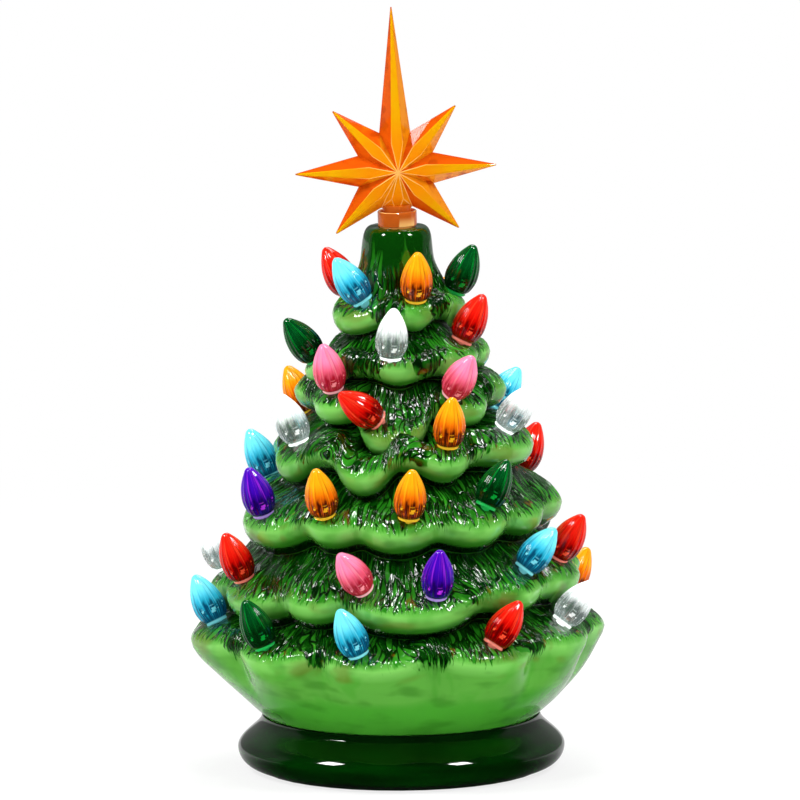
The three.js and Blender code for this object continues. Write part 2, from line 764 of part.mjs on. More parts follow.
// Materials by finish
function finish(color, roughness, metalness = 0) {
  return new THREE.MeshStandardMaterial({ color, roughness, metalness });
}

const ceramicGreen = finish(0x1d6b1c, 0.12);
const baseGreen = finish(0x043c06, 0.1);
const amber = finish(0xf29a0a, 0.06);
const blackPlastic = finish(0x1b1c1d, 0.5);
const nickel = finish(0xb9b7ae, 0.3, 1);

const tree = new THREE.Group();

function addPiece(name, geometry, material, parent = tree) {
  const mesh = new THREE.Mesh(welded(geometry), material);
  mesh.name = name;
  parent.add(mesh);
  return mesh;
}

// Ceramic tree with its bulbs and star
const upper = new THREE.Group();
upper.position.z = treeSeat;
tree.add(upper);

const placed = placedBulbs();
addPiece("tree_body", ceramicBody(placed), ceramicGreen, upper);
for (const { name, colour, place } of placed) {
  const bulb = addPiece(name, bulbFigure(), finish(colours[colour], 0.08), upper);
  bulb.applyMatrix4(place);
}

const star = addPiece("star", starBody(), amber, upper);
star.position.z = capTop + fitGap + starCupRadius * Math.sin(THREE.MathUtils.degToRad(starLean));
star.rotation.set(0, THREE.MathUtils.degToRad(-starLean), THREE.MathUtils.degToRad(starTurn), "ZYX");

// Ceramic base and what it holds
addPiece("base", baseBody(), baseGreen);
addPiece("felt_ring", ring(feltInner, feltOuter, 0, feltThickness, baseSides), finish(0x14301a, 0.95));
addPiece("bottom_plate", plateBody(), blackPlastic);
addPiece("battery_door", doorBody(), blackPlastic);
addPiece("battery_box", boxBody(), blackPlastic);
[-1, 0, 1].forEach((row, i) => {
  const cell = addPiece(`battery_${i + 1}`, cellBody(), finish(0x9a9ca0, 0.35, 0.6));
  cell.position.set(0, row * cellPitch, cellHeight);
  if (row !== 0) cell.rotation.z = Math.PI;
});
addPiece("contact_bridge_1", contactBody([{ at: -cellPitch, spring: true }, { at: 0 }], false), nickel);
addPiece("contact_negative", contactBody([{ at: cellPitch, spring: true }], true), nickel);
addPiece("contact_bridge_2", contactBody([{ at: -cellPitch }, { at: 0, spring: true }], false), nickel)
  .rotation.z = Math.PI;
addPiece("contact_positive", contactBody([{ at: cellPitch }], true), nickel).rotation.z = Math.PI;
addPiece("switch_body", switchBody(), blackPlastic);
addPiece("switch_slider", sliderBody(), finish(0xd8d8d4, 0.45));
addPiece("lamp_post", postBody(), finish(0xe8e8e4, 0.5));
addPiece("led_board", boardBody(), finish(0xf0f0ec, 0.4));
addPiece("led_lamp", ledBody(), finish(0xfff2cf, 0.3));
Object.entries(wireBodies()).forEach(([name, geometry]) => {
  addPiece(name, geometry, finish(name === "wire_return" ? 0x18181a : 0xa81414, 0.5));
});

export default tree;
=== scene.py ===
import json
import math

import bmesh
import bpy
import numpy as np
from mathutils import Matrix, Vector, noise


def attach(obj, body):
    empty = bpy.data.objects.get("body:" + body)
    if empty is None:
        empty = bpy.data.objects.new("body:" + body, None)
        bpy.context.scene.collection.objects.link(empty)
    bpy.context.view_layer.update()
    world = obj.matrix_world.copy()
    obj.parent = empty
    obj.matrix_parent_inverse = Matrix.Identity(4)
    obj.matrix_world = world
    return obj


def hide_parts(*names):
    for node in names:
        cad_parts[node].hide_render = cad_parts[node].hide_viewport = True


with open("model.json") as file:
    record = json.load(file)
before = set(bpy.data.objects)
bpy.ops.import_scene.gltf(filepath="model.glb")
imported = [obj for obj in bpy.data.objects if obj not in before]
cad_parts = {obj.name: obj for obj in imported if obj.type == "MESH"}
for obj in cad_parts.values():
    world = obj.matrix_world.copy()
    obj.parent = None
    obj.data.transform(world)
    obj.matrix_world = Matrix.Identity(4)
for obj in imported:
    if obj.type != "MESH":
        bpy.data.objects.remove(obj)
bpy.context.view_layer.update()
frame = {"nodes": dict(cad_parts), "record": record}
nodes = frame["nodes"]
mm = 0.001

# Camera: nearly level, far off with a long lens, and turned a touch so that the tree leans left
camera = {
    "elevation": 9.5,
    "roll": -0.43,
    "target": (0.0006, 0, 0.1838),
    "distance": 12.0,
    "frameWidth": 0.396,
    "sensor": 36,
}


def makeCamera():
    tilt = math.radians(camera["elevation"])
    back = Vector((0, -math.cos(tilt), math.sin(tilt)))
    lens = bpy.data.cameras.new("camera")
    lens.sensor_width = camera["sensor"]
    lens.lens = camera["sensor"] * camera["distance"] / camera["frameWidth"]
    lens.clip_end = 60
    holder = bpy.data.objects.new("camera", lens)
    bpy.context.scene.collection.objects.link(holder)
    holder.location = Vector(camera["target"]) + back * camera["distance"]
    facing = (-back).to_track_quat("-Z", "Y").to_matrix()
    holder.rotation_euler = (facing @ Matrix.Rotation(math.radians(camera["roll"]), 3, "Z")).to_euler()
    bpy.context.scene.camera = holder


makeCamera()
print("camera placed")


# Gives an input a value, or links it where the value is another node's socket
def feed(tree, socket, value):
    if isinstance(value, bpy.types.NodeSocket):
        tree.links.new(value, socket)
    else:
        socket.default_value = value


# Adds a node, with its settings by name and its inputs by name or number
def addNode(tree, kind, inputs=None, **settings):
    node = tree.nodes.new(kind)
    for key, value in settings.items():
        setattr(node, key, value)
    for key, value in (inputs or {}).items():
        feed(tree, node.inputs[key], value)
    return node


def attributeOf(tree, name, kind="Fac"):
    return addNode(tree, "ShaderNodeAttribute", attribute_name=name).outputs[kind]


def maths(tree, operation, *values):
    return addNode(tree, "ShaderNodeMath", dict(enumerate(values)), operation=operation).outputs[0]


def plus(tree, first, second):
    return maths(tree, "ADD", first, second)


def minus(tree, first, second):
    return maths(tree, "SUBTRACT", first, second)


def times(tree, first, second):
    return maths(tree, "MULTIPLY", first, second)


def noiseOf(tree, place, scale, detail):
    inputs = {"Vector": place, "Scale": scale, "Detail": detail}
    return addNode(tree, "ShaderNodeTexNoise", inputs).outputs["Fac"]


def stretchedBy(tree, place, factors):
    return addNode(tree, "ShaderNodeVectorMath", {0: place, 1: factors}, operation="MULTIPLY").outputs[0]


def mixColour(tree, share, first, second):
    return addNode(tree, "ShaderNodeMix", {"Factor": share, 6: first, 7: second}, data_type="RGBA").outputs[2]


def ramp(tree, share, stops):
    node = addNode(tree, "ShaderNodeValToRGB", {"Fac": share})
    elements = node.color_ramp.elements
    elements[0].position, elements[0].color = stops[0]
    elements[1].position, elements[1].color = stops[-1]
    for position, colour in stops[1:-1]:
        elements.new(position).color = colour
    return node.outputs["Color"]


def rangeOf(tree, value, low, high, toLow=0.0, toHigh=1.0):
    inputs = {"Value": value, "From Min": low, "From Max": high, "To Min": toLow, "To Max": toHigh}
    return addNode(tree, "ShaderNodeMapRange", inputs, interpolation_type="SMOOTHSTEP").outputs["Result"]


# A colour given as it looks on screen, 0 to 255, as the linear colour that Blender wants
def screen(red, green, blue):
    channels = [value / 255 for value in (red, green, blue)]
    linear = [c / 12.92 if c <= 0.04045 else ((c + 0.055) / 1.055) ** 2.4 for c in channels]
    return (*linear, 1)


def newMaterial(name):
    material = bpy.data.materials.new(name)
    material.use_nodes = True
    tree = material.node_tree
    tree.nodes.clear()
    output = tree.nodes.new("ShaderNodeOutputMaterial")
    shader = tree.nodes.new("ShaderNodeBsdfPrincipled")
    tree.links.new(shader.outputs[0], output.inputs[0])
    return material, tree, shader


def setShader(tree, shader, **inputs):
    for key, value in inputs.items():
        feed(tree, shader.inputs[key.replace("_", " ")], value)


def newGroup(name, inputs, outputs):
    group = bpy.data.node_groups.new(name, "ShaderNodeTree")
    for label, kind, value in inputs:
        socket = group.interface.new_socket(label, in_out="INPUT", socket_type=kind)
        if value is not None:
            socket.default_value = value
    for label, kind in outputs:
        group.interface.new_socket(label, in_out="OUTPUT", socket_type=kind)
    return group, group.nodes.new("NodeGroupInput"), group.nodes.new("NodeGroupOutput")


def useGroup(tree, group, **inputs):
    node = tree.nodes.new("ShaderNodeGroup")
    node.node_tree = group
    setShader(tree, node, **inputs)
    return node


# Small unevenness of a surface: a fine grain and a slow swell, given as one normal and one mask
def makeUnevenGroup():
    floatKind, vectorKind = "NodeSocketFloat", "NodeSocketVector"
    group, given, result = newGroup(
        "unevenSurface",
        [("Grain Size", floatKind, 1.0), ("Grain Depth", floatKind, 0.02), ("Swell Size", floatKind, 12.0),
         ("Swell Depth", floatKind, 0.05)],
        [("Normal", vectorKind), ("Mask", floatKind)],
    )
    place = addNode(group, "ShaderNodeTexCoord").outputs["Object"]
    grainScale = maths(group, "DIVIDE", 1000.0, given.outputs["Grain Size"])
    swellScale = maths(group, "DIVIDE", 1000.0, given.outputs["Swell Size"])
    grain = noiseOf(group, place, grainScale, 2.0)
    swell = noiseOf(group, place, swellScale, 1.0)
    grainLift = times(group, grain, given.outputs["Grain Depth"])
    swellLift = times(group, swell, given.outputs["Swell Depth"])
    lift = maths(group, "ADD", grainLift, swellLift)
    bump = addNode(group, "ShaderNodeBump", {"Height": lift, "Strength": 1.0, "Distance": mm})
    group.links.new(bump.outputs["Normal"], result.inputs["Normal"])
    group.links.new(grain, result.inputs["Mask"])
    return group


unevenSurface = makeUnevenGroup()


def dressPiece(name, mesh, body, material):
    mesh.materials.append(material)
    mesh.polygons.foreach_set("use_smooth", [True] * len(mesh.polygons))
    piece = bpy.data.objects.new(name, mesh)
    bpy.context.scene.collection.objects.link(piece)
    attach(piece, body)
    return piece


def meshFrom(bm, name):
    mesh = bpy.data.meshes.new(name)
    bm.to_mesh(mesh)
    bm.free()
    return mesh


# Turns a profile of (radius, height) pairs round Z, in millimetres. A closed profile makes a ring.
def turned(profile, steps, closed=False):
    bm = bmesh.new()
    points = [bm.verts.new((radius, 0, height)) for radius, height in profile]
    edges = [bm.edges.new(pair) for pair in zip(points, points[1:])]
    if closed:
        edges.append(bm.edges.new((points[-1], points[0])))
    bmesh.ops.spin(bm, geom=points + edges, cent=(0, 0, 0), axis=(0, 0, 1), angle=2 * math.pi, steps=steps,
                   use_merge=True)
    bmesh.ops.remove_doubles(bm, verts=bm.verts, dist=1e-5)
    bmesh.ops.recalc_face_normals(bm, faces=bm.faces)
    return bm


# A smooth line through (radius, height) points, with a number of steps between each two
def smoothLine(points, steps):
    line = []
    last = len(points) - 1
    for i in range(last):
        before, start, end, after = (np.array(points[min(max(i + k, 0), last)], float) for k in (-1, 0, 1, 2))
        span = np.linalg.norm(end - start)
        leaving = (end - before) / max(np.linalg.norm(end - before), 1e-9) * span
        arriving = (after - start) / max(np.linalg.norm(after - start), 1e-9) * span
        for k in range(steps):
            t = k / steps
            line.append(tuple(
                (2 * t**3 - 3 * t**2 + 1) * start + (t**3 - 2 * t**2 + t) * leaving
                + (3 * t**2 - 2 * t**3) * end + (t**3 - t**2) * arriving
            ))
    return line + [tuple(points[-1])]


# The ceramic tree. Heights are above its rim, in millimetres, and turns are degrees from the front.
ceramic = {
    "seat": 27.3,
    "columns": 600,
    "neckRadius": 69,
    "rimWall": 6,
    "knee": (72.4, 3.8),
    "waist": (79.5, 10.5),
    "skirt": (91.5, 23),
    "skirtWall": 6.5,
    "wall": 5,
    "lipWall": 9,
    "capTop": 243.7,
    "capRadius": 16.2,
    "capEdge": 2.4,
    "capFlare": (19, 224.5),
    "capThickness": 6,
    "starHoleRadius": 8.3,
    "lipNose": 3,
    "lipShoulder": 5,
    "lipUnder": 7,
    "creaseWidth": 1.6,
    "deepestCrease": 1.5,
    "cornerSoftness": 0.35,
    "needleDepth": 0.5,
    "needleWidth": 2.7,
    "needleLength": 20,
    "clumpWidth": 8,
    "clumpDepth": 1.2,
    "fan": 0.3,
    "sway": 2.4,
}

# Tiers from the top. A lobe is (turn, half width, extra reach, extra height). The green brushed on a lip drops
# by taper between two lobes.
tiers = [
    {"height": 203, "reach": 31, "scallop": 4, "lift": 4, "inset": 8, "drop": 9, "seat": (6.5, 6.5), "taper": 12,
     "lobes": [(20, 27, 0, -3), (88, 37, 3, 1), (160, 36, 0, 2), (-128, 36, 0, -4), (-56, 36, 4, -3)]},
    {"height": 179, "reach": 44, "scallop": 4, "lift": 3, "inset": 9, "drop": 10, "seat": (7, 6.5), "taper": 11,
     "lobes": [(0, 23, -1, -3), (52, 26, 1, 2), (98, 24, 2, 1), (150, 30, 0, 3), (-154, 30, 0, 2),
               (-96, 26, 3, -8), (-50, 22, -2, 1)]},
    {"height": 159, "reach": 53, "scallop": 5, "lift": 3, "inset": 9, "drop": 10, "seat": (8, 8.5), "taper": 8,
     "lobes": [(-4, 22, 1, -16), (48, 20, 0, -3), (97, 25, 1, 3), (145, 25, 0, 2), (-165, 28, 0, 2),
               (-102, 26, 0, 2), (-45, 19, 0, -1)]},
    {"height": 132, "reach": 65, "scallop": 5, "lift": 3, "inset": 10, "drop": 11, "seat": (8, 10), "taper": 7,
     "lobes": [(-18, 15, 1, -7), (23, 15, 0, -1), (68, 25, 4, 4), (112, 24, 3, 2), (165, 24, 0, 2),
               (-148, 23, 0, 0), (-107, 20, 0, -2), (-68, 20, 0, -7)]},
    {"height": 99.5, "reach": 79, "scallop": 4.5, "lift": 3, "inset": 10, "drop": 12, "seat": (8, 10), "taper": 4,
     "lobes": [(-1, 16, 1, 0.5), (31, 16, 1, 2), (61, 14, 0, 3), (93, 17, 2, 5), (130, 20, 0, 4),
               (170, 20, 0, 3), (-152, 19, 0, 2), (-110, 20, 1, 4), (-67, 24, 2, -3), (-28, 14, 0, 1.5)]},
    {"height": 66.5, "reach": 92, "scallop": 5.5, "lift": 3, "inset": 10, "drop": 12, "seat": (8, 10), "taper": 5,
     "lobes": [(4, 22, 1, -4), (42, 15, 0, 3), (70, 16, 1, 5), (105, 19, 0, 5), (143, 19, 0, 4),
               (-178, 20, 0, 3), (-140, 19, 0, 1), (-99, 20, 3, -5), (-61, 20, 1, -4), (-31, 13, 0, -1)]},
    {"height": 39, "reach": 102, "scallop": 6, "lift": 3, "inset": 10, "drop": 12, "seat": (8, 8.5), "taper": 10,
     "lobes": [(-9, 17, 0, -2), (28, 17, 0, -1), (60, 16, 0, 3), (93, 18, -0.3, 3), (132, 20, 0, 4),
               (172, 19, 0, 3), (-150, 19, 0, 2), (-113, 18, 1, 0), (-81, 21, 2.6, 0), (-42, 17, 0, -2)]},
]


# Where a tier's lip is at each turn, how far each turn is from the middle of its lobe, and how near a crease
def lipAt(tier, turns):
    total, reach, height, aside, crease = 0, 0, 0, 0, 0
    for middle, halfWidth, extraReach, extraHeight in tier["lobes"]:
        away = (turns - middle + 180) % 360 - 180
        off = np.minimum((away / halfWidth) ** 2, ceramic["deepestCrease"])
        lobeReach = tier["reach"] + extraReach - tier["scallop"] * off
        weight = np.exp((lobeReach - tier["reach"]) / ceramic["creaseWidth"])
        total = total + weight
        reach = reach + weight * lobeReach
        height = height + weight * (tier["height"] + extraHeight + tier["lift"] * off)
        aside = aside + weight * away
        crease = crease + weight * off
    return reach / total, height / total, aside / total, crease / total


# The outer line at every turn: a list of stations with radius, height, rows to the next, tier and corner
def outerStations(turns):
    flat = np.ones_like(turns)
    rim = ceramic["neckRadius"]
    found = [(flat * (rim - 0.8), flat * 0, 1, 6, 1), (flat * rim, flat * 0.8, 2, 6, 1)]
    found.append((flat * ceramic["knee"][0], flat * ceramic["knee"][1], 3, 6, 1))
    found.append((flat * ceramic["waist"][0], flat * ceramic["waist"][1], 5, 6, 1))
    for number in range(len(tiers) - 1, -1, -1):
        tier = tiers[number]
        reach, height, *_ = lipAt(tier, turns)
        if number == len(tiers) - 1:
            skirtRadius, skirtHeight = ceramic["skirt"]
            found.append((skirtRadius + (reach - tier["reach"]) / 2, flat * skirtHeight, 3, number, 1))
        else:
            found.append((reach - tier["inset"], height - tier["drop"], 2, number, ceramic["cornerSoftness"]))
        found.append((reach - ceramic["lipNose"], height - ceramic["lipUnder"], 2, number, 1))
        found.append((reach, height, 3, number, 1))
        found.append((reach - ceramic["lipNose"], height + ceramic["lipShoulder"], 3, number, 1))
        found.append((reach - tier["seat"][0], height + tier["seat"][1], 7, number, 1))
    found.append((flat * ceramic["capFlare"][0], flat * ceramic["capFlare"][1], 6, 0, 1))
    capEdge, capTop = ceramic["capEdge"], ceramic["capTop"]
    found.append((flat * ceramic["capRadius"], flat * (capTop - capEdge), 4, 0, 1))
    found.append((flat * (ceramic["capRadius"] - capEdge), flat * capTop, 2, 0, 1))
    found.append((flat * (ceramic["starHoleRadius"] + 0.5), flat * capTop, 1, 0, 0))
    return found


# Smooth rows through the stations, each row a ring of (radius, height)
def rowsThrough(stations):
    middle = np.array([(radius.mean(), height.mean()) for radius, height, *_ in stations])
    knots = np.concatenate([[0], np.cumsum(np.sqrt(np.linalg.norm(np.diff(middle, axis=0), axis=1)))])
    points = np.array([np.stack([radius, height], axis=1) for radius, height, *_ in stations])
    slopes = np.zeros_like(points)
    for i in range(1, len(stations) - 1):
        before, after = knots[i] - knots[i - 1], knots[i + 1] - knots[i]
        leaving, arriving = (points[i + 1] - points[i]) / after, (points[i] - points[i - 1]) / before
        slopes[i] = (leaving * before + arriving * after) / (before + after) * stations[i][4]
    rows, owners, stationRows = [], [], []
    for i in range(len(stations) - 1):
        span = knots[i + 1] - knots[i]
        count = stations[i][2]
        stationRows.append(len(rows))
        for k in range(count):
            t = k / count
            rows.append(
                (2 * t**3 - 3 * t**2 + 1) * points[i] + (t**3 - 2 * t**2 + t) * span * slopes[i]
                + (3 * t**2 - 2 * t**3) * points[i + 1] + (t**3 - t**2) * span * slopes[i + 1]
            )
            owners.append(stations[i][3])
    stationRows.append(len(rows))
    rows.append(points[-1])
    owners.append(stations[-1][3])
    return np.array(rows), np.array(owners), stationRows


# The hollow's line, from the star's hole down to the rim
def hollowRows(turns):
    flat = np.ones_like(turns)
    inner = ceramic["neckRadius"] - ceramic["rimWall"]
    waistRadius, waistHeight = ceramic["waist"]
    points = [(flat * inner, flat * 0.8), (flat * inner, flat * ceramic["knee"][1])]
    points.append((flat * (waistRadius - ceramic["skirtWall"]), flat * (waistHeight + ceramic["skirtWall"])))
    for number in range(len(tiers) - 1, -1, -1):
        tier = tiers[number]
        reach, height, *_ = lipAt(tier, turns)
        if number < len(tiers) - 1:
            points.append((reach - tier["inset"] - ceramic["wall"], height - tier["drop"]))
        points.append((reach - ceramic["lipWall"], height))
    hole, top = ceramic["starHoleRadius"], ceramic["capTop"]
    points.append((flat * hole, flat * (top - ceramic["capThickness"])))
    points.append((flat * hole, flat * (top - 0.5)))
    points.reverse()
    points.append((flat * (inner + 0.8), flat * 0))
    return np.array([np.stack(pair, axis=1) for pair in points])


def noiseOver(coordinates):
    values = [noise.noise(Vector(point)) for point in coordinates.reshape(-1, 3)]
    return np.array(values).reshape(coordinates.shape[:-1])


def smoothStep(value, low, high):
    t = np.clip((value - low) / (high - low), 0, 1)
    return t * t * (3 - 2 * t)


def buildCeramicTree(seats):
    columns = ceramic["columns"]
    turns = np.arange(columns) * 360 / columns
    outer, owners, stationRows = rowsThrough(outerStations(turns))
    inner = hollowRows(turns)
    angles = np.radians(turns)
    around = np.stack([np.sin(angles), -np.cos(angles)], axis=1)

    def inSpace(rows):
        return np.concatenate([rows[:, :, :1] * around[None], rows[:, :, 1:]], axis=2)

    place = inSpace(outer)
    lengths = np.linalg.norm(np.diff(place, axis=0), axis=2)
    travelled = np.concatenate([np.zeros((1, columns)), np.cumsum(lengths, axis=0)])
    # The nose of each tier's lip is its third station, after four stations for the rim and waist
    noseRow = {number: stationRows[4 + 5 * (len(tiers) - 1 - number) + 2] for number in range(len(tiers))}
    rise = np.stack([travelled[row] - travelled[noseRow[owner]] for row, owner in enumerate(owners)])
    flow = np.zeros((*place.shape[:2], 3))
    drop, under = np.zeros_like(rise), np.zeros_like(rise)
    for number, tier in enumerate(tiers):
        mine = owners == number
        _, _, aside, crease = lipAt(tier, turns)
        spread = ceramic["fan"] * smoothStep(rise[mine], 26, -2)
        fanned = np.radians(turns[None] - aside[None] * spread)
        reference = tier["reach"] - 8
        flow[mine] = np.stack([reference * np.sin(fanned), -reference * np.cos(fanned), rise[mine]], axis=2)
        flow[mine] += [0, 0, 190.0 * number]
        drop[mine] = tier["taper"] * smoothStep(crease, 0.6, 1.3)[None]
        # How far under its lip each point lies, for the painted shade there; the skirt has none
        under[mine] = smoothStep(rise[mine], -2, -13) * (number < len(tiers) - 1)
    # The needles sway, so that they lie in curves
    for axis, offset in enumerate((11.0, 57.0)):
        flow[:, :, axis] += ceramic["sway"] * noiseOver(place / 12 + offset)
    needles = smoothStep(rise + drop, 0.5, 4.5) * smoothStep(outer[:, :, 1], 229, 221)
    rowNormal = np.cross(np.roll(place, -1, axis=1) - np.roll(place, 1, axis=1), np.gradient(place, axis=0))
    rowNormal /= np.maximum(np.linalg.norm(rowNormal, axis=2, keepdims=True), 1e-9)
    width, length, clumpWidth = ceramic["needleWidth"], ceramic["needleLength"], ceramic["clumpWidth"]
    fine = noiseOver(flow / [width, width, length])
    clump = noiseOver(flow / [clumpWidth, clumpWidth, 3 * clumpWidth] + 40.0)
    grooves = ceramic["needleDepth"] * (np.minimum(np.abs(fine) * 2.6, 1) - 0.75)
    swell = ceramic["clumpDepth"] * clump
    shift = needles * (grooves + swell) + 0.35 * (1 - needles) * clump * smoothStep(rise, -14, -2)
    place = place + rowNormal * shift[:, :, None]
    place = pressSeats(place, seats)
    whole = np.concatenate([inSpace(inner), place])
    count = len(whole)

    bm = turned([(1, level) for level in range(count)], columns, closed=True)
    riseLayer = bm.verts.layers.float.new("rise")
    needleLayer = bm.verts.layers.float.new("needles")
    bareLayer = bm.verts.layers.float.new("bare")
    dropLayer = bm.verts.layers.float.new("drop")
    underLayer = bm.verts.layers.float.new("under")
    flowLayer = bm.verts.layers.float_vector.new("flow")
    step = 2 * math.pi / columns
    for vert in bm.verts:
        level = round(vert.co.z)
        column = round(math.atan2(vert.co.x, -vert.co.y) / step) % columns
        x, y, z = whole[level, column]
        vert.co = (x * mm, y * mm, (z + ceramic["seat"]) * mm)
        row = level - len(inner)
        if row < 0:
            vert[bareLayer] = 1
            vert[riseLayer] = -40
        else:
            vert[riseLayer] = rise[row, column]
            vert[needleLayer] = needles[row, column]
            vert[dropLayer] = drop[row, column]
            vert[underLayer] = under[row, column]
            vert[flowLayer] = flow[row, column]
    bmesh.ops.recalc_face_normals(bm, faces=bm.faces)
    return meshFrom(bm, "ceramicTree")


# Presses the clay flat under each bulb's collar and clear of its side
def pressSeats(place, seats):
    for seat, axis in seats:
        away = place - np.array(seat)
        along = away @ np.array(axis)
        across = np.linalg.norm(away - along[:, :, None] * np.array(axis), axis=2)
        ceiling = -0.15 + 1.1 * np.maximum(across - 5.6, 0)
        near = (across < 11) & (np.abs(along) < 12) & (along > ceiling)
        place = np.where(near[:, :, None], place - (along - ceiling)[:, :, None] * np.array(axis), place)
    return place


# Glaze of the tree: dark where the needles are carved, brushed to light green on the lips and the skirt
treeGlaze = {
    "darkest": screen(0, 22, 0),
    "dark": screen(4, 52, 3),
    "ridge": screen(26, 98, 16),
    "middle": screen(40, 124, 24),
    "fresh": screen(66, 148, 42),
    "light": screen(86, 156, 58),
    "pale": screen(116, 186, 86),
    "shade": screen(40, 104, 22),
    "olive": screen(98, 88, 26),
    "rust": screen(122, 62, 10),
    "bisque": screen(226, 218, 200),
    "brushEdge": 5.5,
    "brushJag": 16.0,
    "brushSwing": 9.0,
    "strandWidth": 2.2,
    "strandLength": 18,
    "strandHeight": 0.5,
    "roughness": 0.05,
}


def makeTreeGlaze():
    material, tree, shader = newMaterial("treeGlaze")
    rise, needles, bare, drop, under = (
        attributeOf(tree, name) for name in ("rise", "needles", "bare", "drop", "under")
    )
    flow = attributeOf(tree, "flow", "Vector")

    def strokes(width, length, detail=1.5, shift=0.0):
        scale = (1 / width, 1 / width, 1 / length)
        stretched = addNode(tree, "ShaderNodeVectorMath", {0: flow, 1: scale, 2: (shift, shift, shift)},
                            operation="MULTIPLY_ADD").outputs[0]
        return noiseOf(tree, stretched, 1.0, detail)

    def swing(value, size):
        return times(tree, minus(tree, value, 0.5), size)

    def needleCells(feature, output):
        across, along = 1 / treeGlaze["strandWidth"], 1 / treeGlaze["strandLength"]
        inputs = {"Vector": stretchedBy(tree, flow, (across, across, along)), "Scale": 1.0}
        return addNode(tree, "ShaderNodeTexVoronoi", inputs, feature=feature).outputs[output]

    teeth = strokes(1.25, 7)
    broad = strokes(9, 14, shift=3.0)
    streaks = strokes(1.7, 18, shift=7.0)
    edge = plus(tree, swing(teeth, treeGlaze["brushJag"]), swing(broad, treeGlaze["brushSwing"]))
    edge = minus(tree, plus(tree, edge, treeGlaze["brushEdge"]), drop)
    above = minus(tree, rise, edge)
    light = rangeOf(tree, above, 0.3, -2.4)
    # Above the lip: single needles, each with its own green, between dark grooves. They grow darker with height,
    # towards the tier above, and in the creases between lobes: painted shade.
    gap = needleCells("DISTANCE_TO_EDGE", "Distance")
    body = rangeOf(tree, gap, 0.02, 0.15)
    chance = addNode(tree, "ShaderNodeSeparateColor", {0: needleCells("F1", "Color")}).outputs[0]
    chance = minus(tree, chance, times(tree, maths(tree, "MAXIMUM", above, 0.0), 0.022))
    chance = minus(tree, plus(tree, chance, swing(broad, 0.9)), times(tree, drop, 0.03))
    dark = mixColour(tree, rangeOf(tree, chance, 0.0, 0.35), treeGlaze["dark"], treeGlaze["ridge"])
    dark = mixColour(tree, rangeOf(tree, chance, 0.35, 0.8), dark, treeGlaze["middle"])
    glints = times(tree, rangeOf(tree, streaks, 0.52, 0.66), times(tree, needles, 0.7))
    dark = mixColour(tree, glints, dark, treeGlaze["ridge"])
    groove = times(tree, minus(tree, 1.0, body), needles)
    dark = mixColour(tree, groove, dark, treeGlaze["darkest"])
    rust = times(tree, rangeOf(tree, strokes(7, 9, 1.0, 21.0), 0.62, 0.72), rangeOf(tree, above, 7.0, 1.0))
    dark = mixColour(tree, times(tree, rust, 0.6), dark, treeGlaze["rust"])
    # On the lip: paler along its top, a painted highlight, darker towards its underside and darkest beneath it,
    # painted shade over a darker glaze, with olive patches on its underside
    pale = ramp(tree, rangeOf(tree, rise, -30.0, 6.0), [
        (0.0, treeGlaze["fresh"]),
        (0.12, treeGlaze["light"]),
        (0.72, treeGlaze["light"]),
        (0.93, treeGlaze["pale"]),
        (1.0, treeGlaze["fresh"]),
    ])
    place = addNode(tree, "ShaderNodeTexCoord").outputs["Object"]
    blotches = noiseOf(tree, stretchedBy(tree, place, (1, 1, 2.2)), 45.0, 2.0)
    pale = mixColour(tree, times(tree, rangeOf(tree, broad, 0.45, 0.7), 0.5), pale, treeGlaze["fresh"])
    pale = mixColour(tree, times(tree, rangeOf(tree, blotches, 0.5, 0.7), 0.45), pale, treeGlaze["shade"])
    tint = times(tree, rangeOf(tree, strokes(14, 10, 1.0, 13.0), 0.52, 0.72), rangeOf(tree, rise, -11.0, -6.0))
    pale = mixColour(tree, times(tree, tint, 0.45), pale, treeGlaze["olive"])
    # Painted shade: darker under each lip, darkest deepest under it
    pale = mixColour(tree, rangeOf(tree, plus(tree, under, swing(blotches, 0.5)), 0.05, 0.6), pale,
                     treeGlaze["shade"])
    pale = mixColour(tree, rangeOf(tree, under, 0.6, 0.95), pale, treeGlaze["darkest"])
    dark = mixColour(tree, times(tree, rangeOf(tree, above, 2.2, -0.2), body), dark, treeGlaze["middle"])
    glaze = mixColour(tree, light, dark, pale)
    colour = mixColour(tree, bare, glaze, treeGlaze["bisque"])
    lift = times(tree, plus(tree, body, times(tree, teeth, 0.6)), needles)
    bump = addNode(tree, "ShaderNodeBump",
                   {"Height": lift, "Strength": 1.0, "Distance": treeGlaze["strandHeight"] * mm})
    rough = addNode(tree, "ShaderNodeMapRange", {"Value": bare, "To Min": treeGlaze["roughness"], "To Max": 0.85})
    setShader(tree, shader, Base_Color=colour, Roughness=rough.outputs[0], Normal=bump.outputs[0], IOR=1.5)
    return material


# Flame bulbs: (radius, height) of the outline above the seat, in millimetres
bulb = {
    "outline": [(5.1, 0.0), (5.4, 0.5), (5.3, 1.2), (6.7, 3.0), (7.75, 6.0), (8.1, 9.0), (7.8, 12.4), (6.75, 16.6),
                (5.0, 20.5), (3.3, 23.3), (1.7, 25.4), (0.0, 26.1)],
    "stemRadius": 2.5,
    "stemLength": 8.0,
    "girth": 8,
    "streakRadius": 7,
    "sides": 90,
    "flutes": 18,
    "fluteDepth": 0.2,
}
